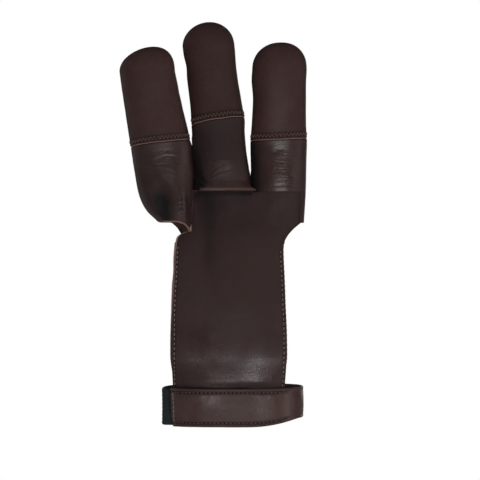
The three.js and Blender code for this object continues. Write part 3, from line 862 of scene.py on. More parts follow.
@dataclass
class Wardrobe:
    """All finishes of the glove, made once."""

    finishes: Tuple = (
        # Each leather's light colour tints its mottle, rubbed places and painted highlights; its dark colour
        # is the painted shade of creases and shaded places.
        LeatherFinish(
            "cap_leather", (0.04, 0.0186, 0.017), (0.06, 0.031, 0.0285), (0.012, 0.005, 0.0044),
            smoothest=0.55, roughest=0.72, pebble_size=0.8, pebble_depth=0.35, crease_size=4.0,
            crease_depth=0.15, crease_stretch=1.4, bump=0.6, specular=0.16,
        ),
        LeatherFinish(
            "sleeve_leather", (0.03, 0.0138, 0.0122), (0.048, 0.026, 0.0235), (0.004, 0.0018, 0.0016),
            smoothest=0.31, roughest=0.7, pebble_size=0.8, pebble_depth=0.16, crease_size=2.8,
            crease_depth=0.6, crease_stretch=2.8, bump=0.7, specular=0.24,
        ),
        LeatherFinish(
            "palm_leather", (0.0275, 0.0124, 0.0112), (0.044, 0.0224, 0.0206), (0.008, 0.0036, 0.0032),
            smoothest=0.3, roughest=0.85, pebble_size=0.75, pebble_depth=0.22, crease_size=4.5,
            crease_depth=0.3, crease_stretch=0.6, bump=0.85, specular=0.27,
        ),
        LeatherFinish(
            "band_leather", (0.049, 0.0246, 0.0222), (0.076, 0.044, 0.0402), (0.01, 0.0045, 0.004),
            smoothest=0.28, roughest=0.66, pebble_size=0.75, pebble_depth=0.3, crease_size=3.5,
            crease_depth=0.35, crease_stretch=1.0, bump=0.5, specular=0.22,
        ),
        RawFinish("raw_edge", (0.07, 0.031, 0.025), (0.29, 0.155, 0.132)),
        RawFinish("panel_edge", (0.02, 0.01, 0.009), (0.34, 0.21, 0.18)),
        RawFinish("dark_edge", (0.024, 0.012, 0.0105), (0.1, 0.058, 0.05), roughness=0.7),
        # flesh_side is kept darker than the raw edge: its colour holds the painted shade inside the sleeves'
        # mouths.
        RawFinish("flesh_side", (0.034, 0.013, 0.0105), (0.062, 0.027, 0.021), fibre_size=0.5),
        RawFinish("lining_leather", (0.03, 0.015, 0.013), (0.34, 0.22, 0.19), fibre_size=0.45),
        ThreadFinish("pale_thread", (0.1, 0.073, 0.06), (0.27, 0.21, 0.18)),
        ThreadFinish("brown_thread", (0.046, 0.021, 0.017), (0.1, 0.052, 0.042)),
        WebbingFinish("strap_webbing", (0.014, 0.0172, 0.0172), (0.032, 0.038, 0.038)),
        WebbingFinish("fastening_tape", (0.008, 0.009, 0.009), (0.026, 0.028, 0.028), rib=1.4, bump=0.9),
    )
    made: Dict[str, bpy.types.Material] = field(default_factory=dict)

    def __getitem__(self, name: str) -> bpy.types.Material:
        """The material of that name, made when first asked for."""
        # The needle holes' near-black colour is painted shade in the holes.
        if name == "needle_hole" and name not in self.made:
            material, w, shader = shader_tree(name)
            place = w.millimetres()
            dust = w.add("ShaderNodeTexNoise", {"Vector": place, "Scale": 2.0}).outputs["Fac"]
            colour = w.blend(dust, (0.0015, 0.001, 0.001, 1.0), (0.004, 0.0025, 0.0022, 1.0))
            w.tree.links.new(colour, shader.inputs["Base Color"])
            shader.inputs["Roughness"].default_value = 0.95
            shader.inputs["Specular IOR Level"].default_value = 0.05
            self.made[name] = material
        if name not in self.made:
            self.made[name] = next(f for f in self.finishes if f.name == name).material()
        return self.made[name]


@dataclass(frozen=True)
class StitchSpec:
    """One row of stitches. Sizes are millimetres."""

    sewing: Sewing
    pitch: float
    thread: str
    radius: float = 0.24
    rise: float = 0.34
    sink: float = 0.2
    zig_width: float = 0.0
    hole: float = 0.3


class SewnRow:
    """Sews rows of stitches along paths on a surface with one Geometry Nodes tree."""

    SAMPLES = 8
    THREAD_SIDES = 6
    HOLE_LIFT = 0.04
    HOLE_FLATNESS = 0.3

    def __init__(self, wardrobe: Wardrobe) -> None:
        """Builds the tree once."""
        self.wardrobe = wardrobe
        self.tree = self._tree()

    def _tree(self) -> bpy.types.NodeTree:
        """A thread that rises and dives along a path, with a dark needle hole at each dive, its darkness
        painted shade.
        """
        tree = bpy.data.node_groups.new("sewn_row", "GeometryNodeTree")
        face = tree.interface
        face.new_socket("Path", in_out="INPUT", socket_type="NodeSocketGeometry")
        for key in ("Pitch", "Thread Radius", "Rise", "Sink", "Zig Width", "Hole Radius"):
            face.new_socket(key, in_out="INPUT", socket_type="NodeSocketFloat")
        for key in ("Thread", "Hole"):
            face.new_socket(key, in_out="INPUT", socket_type="NodeSocketMaterial")
        face.new_socket("Stitches", in_out="OUTPUT", socket_type="NodeSocketGeometry")
        w = NodeWriter(tree)
        given = w.add("NodeGroupInput").outputs
        curve = w.add("GeometryNodeMeshToCurve", {0: given["Path"]}).outputs[0]
        step = w.maths("DIVIDE", given["Pitch"], float(self.SAMPLES))
        even = w.add("GeometryNodeResampleCurve", mode="LENGTH")
        tree.links.new(curve, even.inputs["Curve"])
        tree.links.new(step, even.inputs["Length"])
        out = w.add("GeometryNodeInputNamedAttribute", {"Name": "out"}, data_type="FLOAT_VECTOR").outputs[0]
        along = w.add("GeometryNodeInputTangent").outputs[0]
        side = w.vector("NORMALIZE", w.vector("CROSS_PRODUCT", out, along))
        number = w.add("GeometryNodeInputIndex").outputs[0]
        phase = w.maths("DIVIDE", number, float(self.SAMPLES))
        part = w.maths("FRACT", phase)
        hump = w.maths("POWER", w.maths("SINE", w.maths("MULTIPLY", part, math.pi)), 0.8)
        lift = w.maths("SUBTRACT", w.maths("MULTIPLY", hump, given["Rise"]), given["Sink"])
        to_and_fro = w.maths("SUBTRACT", w.maths("PINGPONG", phase, 1.0), 0.5)
        swing = w.maths("MULTIPLY", to_and_fro, given["Zig Width"])
        offset = w.vector("ADD", w.vector("SCALE", out, lift), w.vector("SCALE", side, swing))
        moved = w.add("GeometryNodeSetPosition", {"Geometry": even.outputs[0], "Offset": offset}).outputs[0]
        profile = w.add(
            "GeometryNodeCurvePrimitiveCircle",
            {"Resolution": self.THREAD_SIDES, "Radius": given["Thread Radius"]},
        ).outputs[0]
        rope = w.add(
            "GeometryNodeCurveToMesh", {"Curve": moved, "Profile Curve": profile, "Fill Caps": True}
        ).outputs[0]
        round_rope = w.add("GeometryNodeSetShadeSmooth", {0: rope}).outputs[0]
        thread = w.add(
            "GeometryNodeSetMaterial", {"Geometry": round_rope, "Material": given["Thread"]}
        ).outputs[0]
        dive = w.maths("LESS_THAN", part, 0.01)
        flat = w.add("FunctionNodeAlignRotationToVector", {"Vector": out}, axis="Z").outputs[0]
        ball = w.add(
            "GeometryNodeMeshIcoSphere", {"Radius": given["Hole Radius"], "Subdivisions": 1}
        ).outputs[0]
        above = w.vector("ADD", w.vector("SCALE", out, self.HOLE_LIFT * MM), w.vector("SCALE", side, swing))
        holes_at = w.add("GeometryNodeSetPosition", {"Geometry": even.outputs[0], "Offset": above}).outputs[0]
        holes = w.add(
            "GeometryNodeInstanceOnPoints",
            {
                "Points": holes_at, "Selection": dive, "Instance": ball,
                "Rotation": flat, "Scale": (1.0, 1.0, self.HOLE_FLATNESS),
            },
        ).outputs[0]
        real = w.add("GeometryNodeRealizeInstances", {0: holes}).outputs[0]
        pits = w.add("GeometryNodeSetMaterial", {"Geometry": real, "Material": given["Hole"]}).outputs[0]
        join = w.add("GeometryNodeJoinGeometry")
        tree.links.new(pits, join.inputs[0])
        tree.links.new(thread, join.inputs[0])
        final = w.add("GeometryNodeRealizeInstances", {0: join.outputs[0]}).outputs[0]
        w.add("NodeGroupOutput", {0: final})
        return tree

    def sew(self, name: str, paths: Sequence[Grid], spec: StitchSpec) -> bpy.types.Object:
        """Sews one row along each path.

        Args:
            name: The piece's name.
            paths: Points and unit outward normals of each path.
            spec: The kind of row.

        Returns:
            One plain mesh of thread and needle holes.
        """
        mesh = bpy.data.meshes.new(name + "_path")
        points = np.concatenate([p for p, _ in paths]) * MM
        outs = np.concatenate([n for _, n in paths])
        edges, start = [], 0
        for places, _ in paths:
            edges += [(start + k, start + k + 1) for k in range(len(places) - 1)]
            start += len(places)
        mesh.from_pydata(points.tolist(), edges, [])
        attribute = mesh.attributes.new("out", "FLOAT_VECTOR", "POINT")
        attribute.data.foreach_set("vector", outs.astype(np.float32).reshape(-1))
        carrier = bpy.data.objects.new(name + "_path", mesh)
        bpy.context.scene.collection.objects.link(carrier)
        modifier = carrier.modifiers.new("sewn_row", "NODES")
        modifier.node_group = self.tree
        values = {
            "Pitch": spec.pitch * MM,
            "Thread Radius": spec.radius * MM,
            "Rise": spec.rise * MM,
            "Sink": spec.sink * MM,
            "Zig Width": (spec.zig_width if spec.sewing is Sewing.ZIGZAG else 0.0) * MM,
            "Hole Radius": spec.hole * MM,
            "Thread": self.wardrobe[spec.thread],
            "Hole": self.wardrobe["needle_hole"],
        }
        for item in self.tree.interface.items_tree:
            if item.in_out == "INPUT" and item.name in values:
                modifier[item.identifier] = values[item.name]
        bpy.context.view_layer.update()
        evaluated = carrier.evaluated_get(bpy.context.evaluated_depsgraph_get())
        plain = bpy.data.meshes.new_from_object(evaluated)
        plain.name = name
        bpy.data.objects.remove(carrier)
        piece = bpy.data.objects.new(name, plain)
        bpy.context.scene.collection.objects.link(piece)
        return piece


def curve_distance(x: Array, z: Array, path: Sequence[Tuple[float, float]]) -> Array:
    """Distance in the palm's plane from places to a smooth curve through a few points."""
    knots = np.array(path, float)
    steps = np.linspace(0, 1, 60)
    stops = np.linspace(0, 1, len(knots))
    line = np.stack([np.interp(steps, stops, knots[:, k]) for k in (0, 1)], -1)
    for _ in range(10):
        line[1:-1] = (line[:-2] + 2 * line[1:-1] + line[2:]) / 4
    best = np.full(np.broadcast(x, z).shape, np.inf)
    for a, b in zip(line[:-1], line[1:]):
        d = b - a
        t = np.clip(((x - a[0]) * d[0] + (z - a[1]) * d[1]) / (d @ d), 0, 1)
        best = np.minimum(best, np.hypot(x - a[0] - t * d[0], z - a[1] - t * d[1]))
    return best


@dataclass(frozen=True)
class Spot:
    """A patch of leather with its middle, size and strength.

    Its place across is a turn in degrees from the palm side on a finger and on the wrist band, and
    millimetres on the palm panel.
    """

    across: float
    z: float
    wide: float
    tall: float
    strength: float = 1.0

    def at(self, off: Array, z: Array) -> Array:
        """The spot's strength beside its middle line by off, at a height."""
        return self.strength * bell(off, self.wide) * bell(z - self.z, self.tall)

    @staticmethod
    def on_finger(spots: Sequence["Spot"], angle: Array, z: Array) -> Array:
        """The strength of all spots round a finger together."""
        total = np.zeros(np.broadcast(angle, z).shape)
        for spot in spots:
            total = total + spot.at(turn_from(angle, spot.across), z)
        return total

    @staticmethod
    def on_sheet(spots: Sequence["Spot"], across: Array, z: Array) -> Array:
        """The strength of all spots of a sheet together."""
        total = np.zeros(np.broadcast(across, z).shape)
        for spot in spots:
            total = total + spot.at(across - spot.across, z)
        return total


@dataclass
class FingertipCap:
    """A thick closed fingertip cap with a raw hem and a zigzag row above it."""

    finger: FingerForm
    wall: float = CAP_WALL
    bevel: float = 0.34
    columns: int = 176
    side_rows: int = 84
    dome_rows: int = 34
    seam_rise: float = 2.35
    seam_width: float = 2.0
    stitch_pitch: float = 0.98
    darkened: float = 0.0
    polish_highlights: Tuple[Spot, ...] = ()
    seed: int = 3

    def hem(self, angle: Array) -> Array:
        """The hem's height, with the small unevenness of a hand-cut edge."""
        wave = lattice_noise(angle / (2 * np.pi) * 17, self.seed + 0.5, self.seed, 17)
        return self.finger.cap_hem(angle) + 0.16 * wave

    def relief(self, angle: Array, z: Array) -> Array:
        """How far the leather stands out of the finger's form."""
        f = self.finger
        cells = angle / (2 * np.pi)
        above = z - self.hem(angle)
        soft = 0.16 * lattice_noise(cells * 7, z / 11, self.seed, 7)
        soft = soft + 0.07 * lattice_noise(cells * 17, z / 4.5, self.seed + 1, 17)
        soft = soft * smooth(f.tip_z - z, 1.0, 12.0)
        seam = -0.2 * bell(above - self.seam_rise, 1.5)
        pucker = 0.05 * np.cos(cells * 2 * np.pi * 44) * bell(above - self.seam_rise, 2.2)
        hem_roll = 0.14 * bell(above - 0.9, 0.6)
        return soft + seam + pucker + hem_roll

    def surface(self, angle: Array, z: Array) -> Array:
        """Points of the outer face."""
        return self.finger.surface(angle, z, -self.relief(angle, z))

    def rows(self) -> Tuple[Array, List[Layer], Array, Array]:
        """All rings of the cap from the outer tip down, round the hem and up inside."""
        f = self.finger
        angle = np.linspace(0, 2 * np.pi, self.columns, endpoint=False)
        hem = self.hem(angle)
        rings, layers, above = [], [], []
        for k in range(1, self.dome_rows + 1):
            z = f.shoulder_z + (f.tip_z - f.shoulder_z) * math.cos(k / (self.dome_rows + 1) * math.pi / 2)
            rings.append(self.surface(angle, np.full_like(angle, z)))
            layers.append(Layer.GRAIN)
            above.append(np.full_like(angle, 40.0))
        for share in np.linspace(1, 0, self.side_rows) ** 1.25:
            z = mix(hem + self.bevel, f.shoulder_z, share)
            rings.append(self.surface(angle, z))
            layers.append(Layer.GRAIN)
            above.append(z - hem)
        layers[-1] = Layer.EDGE
        for drop, inset in ((0.3, 0.04), (0.7, 0.13), (1.0, 0.25)):
            z = hem + self.bevel * (1 - drop)
            rings.append(f.surface(angle, z, inset - self.relief(angle, z) * 0.5))
            layers.append(Layer.EDGE)
            above.append(z - hem)
        layers[-1] = Layer.FLESH
        for rise, inset in ((0.02, 0.31), (0.5, 0.36), (4.0, 1.0), (14.0, self.wall)):
            rings.append(f.surface(angle, hem + rise, inset))
            layers.append(Layer.FLESH)
            above.append(np.zeros_like(angle))
        inner_tip = f.tip_z - self.wall
        for k in range(6):
            z = mix(hem.max() + 16, f.shoulder_z, k / 5)
            rings.append(f.surface(angle, np.full_like(angle, z), self.wall))
            layers.append(Layer.FLESH)
            above.append(np.zeros_like(angle))
        for k in range(10, 0, -1):
            z = f.shoulder_z + (inner_tip - f.shoulder_z) * math.cos(k / 11 * math.pi / 2)
            rings.append(f.surface(angle, np.full_like(angle, z), self.wall))
            layers.append(Layer.FLESH)
            above.append(np.zeros_like(angle))
        return np.array(rings), layers, np.array(above), angle

    def build(self, wardrobe: Wardrobe) -> bpy.types.Object:
        """Makes the cap."""
        f = self.finger
        rings, layers, above, angle = self.rows()
        maker = MeshMaker()
        cells = np.broadcast_to(angle / (2 * np.pi), above.shape)
        rub = np.maximum(0, lattice_noise(cells * 9, above / 9, self.seed + 5, 9))
        # Glossy spots also lighten the colour as a painted highlight.
        polish_highlight = Spot.on_finger(self.polish_highlights, angle, rings[..., 2]) * smooth(above, 2, 6)
        wear = 0.35 * rub * (above > 2) + polish_highlight
        # Painted shade in the zigzag row's groove and a little just above the hem; darkened makes the whole
        # cap darker.
        shade = 0.6 * bell(above - self.seam_rise, 1.2)
        shade = shade + 0.15 * smooth(6 - above, 0, 4) * (above > 0) + self.darkened
        marks = {"wear": wear, "shade": shade, "crinkle": 0.7 + 0 * above, "pale": 0.72 + 0 * above}
        index = tube_rows(maker, rings, layers, **marks)
        x, y, _, _ = f.section(np.array(f.tip_z))
        ends = {"wear": 0.2, "shade": 0.0, "crinkle": 0.7, "pale": 0.5}
        top = maker.add_points(np.array([[float(x), float(y), f.tip_z]]), **ends)
        maker.add_fan(index[0], top, Layer.GRAIN)
        x, y, _, _ = f.section(np.array(f.tip_z - self.wall), self.wall)
        inside = maker.add_points(np.array([[float(x), float(y), f.tip_z - self.wall]]), **ends)
        maker.add_fan(index[-1][::-1], inside, Layer.FLESH)
        materials = [wardrobe["cap_leather"], wardrobe["raw_edge"], wardrobe["flesh_side"]]
        return maker.build(f"{f.name}_cap_leather", materials)

    def stitch_path(self) -> Grid:
        """The middle of the zigzag row, all round the cap."""
        angle = np.linspace(0, 2 * np.pi, 361)
        z = self.hem(angle) + self.seam_rise
        points = self.surface(angle, z)
        above = self.surface(angle, z + 0.3)
        ahead = self.surface(angle + 0.01, z)
        return points, unit(np.cross(ahead - points, above - points))

    def stitches(self, row: SewnRow) -> bpy.types.Object:
        """Sews the zigzag row."""
        spec = StitchSpec(
            Sewing.ZIGZAG, self.stitch_pitch, "brown_thread", radius=0.24, rise=0.34, sink=0.14,
            zig_width=self.seam_width, hole=0.42,
        )
        return row.sew(f"{self.finger.name}_cap_stitches", [self.stitch_path()], spec)


@dataclass(frozen=True)
class Neighbour:
    """A finger beside a sleeve: its side, this sleeve's part of the gap, and how wide a gap it fills."""

    side: int
    finger: FingerForm
    share: float
    reach: float


@dataclass
class FingerSleeve:
    """A thin finger sleeve, tucked into its cap and open at its lower edge."""

    finger: FingerForm
    edge: Callable[[Array], Array]
    beside: Tuple[Neighbour, ...] = ()
    roll: Optional["HemRoll"] = None
    folds: Tuple[Fold, ...] = ()
    wall: float = SLEEVE_WALL
    cap_wall: float = CAP_WALL
    gap: float = 0.3
    cap_lap: float = 8.0
    hem_swell: float = 3.2
    bevel: float = 0.45
    pale: float = 0.6
    pale_from: float = -60.0
    edge_finish: str = "dark_edge"
    feather: float = 0.0
    wrinkled: Tuple[Spot, ...] = ()
    # Glossy spots are lightened as painted highlights; dark spots are painted shade in hollows and on sides
    # turned from the light.
    polish_highlights: Tuple[Spot, ...] = ()
    dark: Tuple[Spot, ...] = ()
    columns: int = 208
    levels: Tuple[int, int, int] = (92, 12, 22)
    seed: int = 11

    def tuck(self, angle: Array, z: Array) -> Array:
        """How far the sleeve is drawn in to pass inside the cap."""
        rise = z - self.finger.cap_hem(angle)
        at_hem = 0.37 * smooth(rise, -0.5, -0.02)
        return at_hem + (self.cap_wall + self.gap - 0.37) * smooth(rise, 0.2, 4.0)

    def pressed_together(self, angle: Array, z: Array) -> Array:
        """How far the sleeve swells to meet the sleeves beside it."""
        total = np.zeros(np.broadcast(angle, z).shape)
        for other in self.beside:
            room = other.side * (other.finger.side(-other.side, z) - self.finger.side(other.side, z))
            push = other.share * (room + 0.12) * (1 - smooth(room, 0.72 * other.reach, other.reach))
            total = total + push * smooth(other.side * np.cos(angle), 0.7, 0.98)
        return total * smooth(self.finger.cap_hem(angle) - z, 0.5, 4.0) * smooth(z, 104.0, 110.0)

    def relief(self, angle: Array, z: Array, low: Array) -> Array:
        """How far folds, creases and crinkles stand out."""
        f = self.finger
        free = smooth(f.cap_hem(angle) - z, 0.4, 4.0)
        base = f.surface(angle, z)
        palm = smooth(-np.sin(angle), -0.1, 0.35)
        out = -f.pressed(angle, z) * smooth(f.cap_hem(angle) - z, 0, self.hem_swell)
        out = out + self.pressed_together(angle, z)
        for fold in self.folds:
            away = curve_distance(base[..., 0], base[..., 2], fold.path)
            out = out + fold.rise * bell(away, fold.width) * palm
        cells = angle / (2 * np.pi)
        wavy = lattice_noise(cells * 9, z / 8, self.seed, 9) * 2.2
        fine = lattice_noise(cells * 13, z / 0.85 + wavy, self.seed + 1, 13)
        broad = lattice_noise(cells * 9, z / 2.4 + wavy * 0.6, self.seed + 2, 9)
        out = out + free * self.gathered(angle, z) * (0.07 * fine + 0.05 * broad)
        if self.roll:
            tall = self.roll.bead_height
            out = out + self.roll.bead * bell(z - low - tall / 2, tall * 0.55) * palm
            out = out - 0.25 * bell(z - low - tall * 1.35, 0.5) * palm
        return out

    def gathered(self, angle: Array, z: Array) -> Array:
        """Where the thin leather is drawn into fine wrinkles, from 0 to 1."""
        patches = 0.2 + 0.3 * lattice_noise(angle / (2 * np.pi) * 5, z / 13, self.seed + 3, 5)
        return np.clip(patches + Spot.on_finger(self.wrinkled, angle, z), 0.05, 1.25)

    def surface(self, angle: Array, z: Array, low: Array, inset: Array = 0.0, full: float = 1.0) -> Array:
        """Points of the sleeve's outer face, or of a layer inside it."""
        total = inset + self.tuck(angle, z) - self.relief(angle, z, low) * full
        points = self.finger.surface(angle, z, total)
        if self.roll:
            palm = smooth(-np.sin(angle), self.roll.start, self.roll.end)
            near = palm * (1 - smooth(z - low, 0, self.roll.height))
            points[..., 1] -= self.roll.out * near
            points[..., 0] += self.roll.spread * near * np.sqrt(np.maximum(0, np.cos(angle)))
        return points

    def build(self, wardrobe: Wardrobe) -> bpy.types.Object:
        """Makes the sleeve."""
        angle = np.linspace(0, 2 * np.pi, self.columns, endpoint=False)
        low = self.edge(angle)
        hem = self.finger.cap_hem(angle)
        top = hem + self.cap_lap
        rings, layers, above = [], [], []
        below_hem, at_hem, in_cap = self.levels
        falls = [mix(hem + 0.4, top, share) for share in np.linspace(1, 0, in_cap, endpoint=False)]
        falls += [mix(hem - 0.9, hem + 0.4, share) for share in np.linspace(1, 0, at_hem, endpoint=False)]
        falls += [mix(low + self.bevel, hem - 0.9, share) for share in np.linspace(1, 0, below_hem)]
        for z in falls:
            rings.append(self.surface(angle, z, low))
            layers.append(Layer.GRAIN)
            above.append(z - low)
        layers[-1] = Layer.EDGE
        skived = self.feather * smooth(-np.sin(angle), 0.1, 0.5)
        rim = mix(0.62, 0.16, skived)
        for drop, share in ((0.35, 0.16), (0.75, 0.5), (1.0, 1.0)):
            z = low + self.bevel * (1 - drop)
            rings.append(self.surface(angle, z, low, rim * share))
            layers.append(Layer.EDGE)
            above.append(z - low)
        layers[-1] = Layer.FLESH
        for share in np.concatenate([[0.0, 0.012], np.linspace(0.05, 1.0, 30)]):
            z = mix(low, top, share)
            beside = smooth(-np.sin(angle), 0.3, 0.42) * (np.cos(angle) > 0) * (z < self.finger.base_z + 18)
            thinned = np.maximum(self.feather * beside, skived * (1 - smooth(z - low, 0.1, 3.0)))
            wall = mix(self.wall, 0.25, thinned)
            rings.append(self.surface(angle, z, low, wall, 0.85))
            layers.append(Layer.FLESH)
            above.append(z - low)
        above_all, rows = np.array(above), np.array(rings)
        maker = MeshMaker()
        cells = np.broadcast_to(angle / (2 * np.pi), above_all.shape)
        rub = np.maximum(0, lattice_noise(cells * 6, above_all / 8, self.seed + 7, 6))
        # Painted shade under and just below the cap's hem.
        under_cap = smooth(rows[..., 2] - self.finger.cap_hem(angle)[None] + 1.2, 0, 1.2)
        turned_hem = bell(above_all - 0.9, 0.85) * (rows[..., 0] > -17) * smooth(-np.sin(angle), 0.1, 0.4)
        marks = {
            "wear": 0.25 * rub + Spot.on_finger(self.polish_highlights, angle, rows[..., 2]),
            "shade": np.minimum(0.5 * under_cap + Spot.on_finger(self.dark, angle, rows[..., 2]), 1.0),
            "crinkle": self.gathered(angle, rows[..., 2]),
            "pale": self.pale * smooth(rows[..., 0], self.pale_from, self.pale_from + 4),
            "cut": turned_hem * (0.3 if self.roll else 0.0),
        }
        tube_rows(maker, rows, layers, loop=True, **marks)
        materials = [wardrobe["sleeve_leather"], wardrobe[self.edge_finish], wardrobe["flesh_side"]]
        return maker.build(f"{self.finger.name}_sleeve_leather", materials)

    def hem_stitches(self, row: SewnRow) -> bpy.types.Object:
        """Sews the short row under the thumb half of the rolled hem."""
        angle = np.radians(np.linspace(-88, -40, 60))
        low = self.edge(angle)
        points = self.surface(angle, low + 0.55, low)
        ahead = self.surface(angle + 0.01, low + 0.55, low) - points
        above = self.surface(angle, low + 0.75, low) - points
        spec = StitchSpec(Sewing.STRAIGHT, 1.5, "brown_thread", radius=0.2, rise=0.34, sink=0.2, hole=0.36)
        return row.sew(f"{self.finger.name}_hem_stitches", [(points, unit(np.cross(ahead, above)))], spec)


@dataclass(frozen=True)
class HemRoll:
    """How a sleeve's lower edge is turned and rolls out over the palm."""

    start: float
    end: float
    out: float
    spread: float
    height: float
    bead: float = 0.35
    bead_height: float = 1.7


def ring_edge(angle: Array) -> Array:
    """Height of the ring sleeve's mouth: its lip falls to a fold beside the panel."""
    across = np.cos(angle)
    palm = 7.2 - 4.1 * np.maximum(0, across) ** 2
    knuckle = mix(7.0, 0.6, smooth(across, -0.25, 0.4))
    return RING.base_z + mix(knuckle, palm, smooth(-np.sin(angle), -0.5, 0.5))


INDEX_HEM_RISE = 16.1


def notched_edge(
    finger: FingerForm, rise: float, left: Tuple[float, float], right: Tuple[float, float]
) -> Callable[[Array], Array]:
    """A lower edge that is cut high on the palm side and hangs low at the knuckle.

    Args:
        finger: The finger.
        rise: How far above the knuckle end the palm side is cut.
        left: Where the cut starts and ends on the little finger's side.
        right: Where it starts and ends on the thumb's side.

    Returns:
        A function of the angle round the finger.
    """

    def edge(angle: Array) -> Array:
        """Height of the edge at an angle."""
        palm = -np.sin(angle)
        high = np.where(np.cos(angle) > 0, smooth(palm, *right), smooth(palm, *left))
        return finger.base_z + rise * high

    return edge


@dataclass(frozen=True)
class WristLoop:
    """The rounded oval that the wrist pieces follow."""

    half_width: float = 34.9
    half_depth: float = 24.0
    squareness: float = 2.8

    def place(self, degrees: Array, out: Array, z: Array) -> Array:
        """Points at a turn from the palm side towards the thumb, outside the oval by out."""
        power = 2 / self.squareness
        s, c = np.sin(np.radians(degrees)), np.cos(np.radians(degrees))
        x = (self.half_width + out) * np.sign(s) * np.abs(s) ** power
        y = -(self.half_depth + out) * np.sign(c) * np.abs(c) ** power
        return np.stack(np.broadcast_arrays(x, y, z), -1)

    def even_turns(self, start: float, end: float, count: int) -> Array:
        """Turns between two ends at even steps along the oval."""
        fine = np.linspace(start, end, 4000)
        points = self.place(fine, 0.0, 0.0)
        run = np.concatenate([[0], np.cumsum(np.linalg.norm(np.diff(points, axis=0), axis=1))])
        return np.interp(np.linspace(0, run[-1], count), run, fine)


@dataclass(frozen=True)
class PalmRow:
    """The panel's sides and fall at a share of its height."""

    at: float
    left: float
    right: float
    fall: float


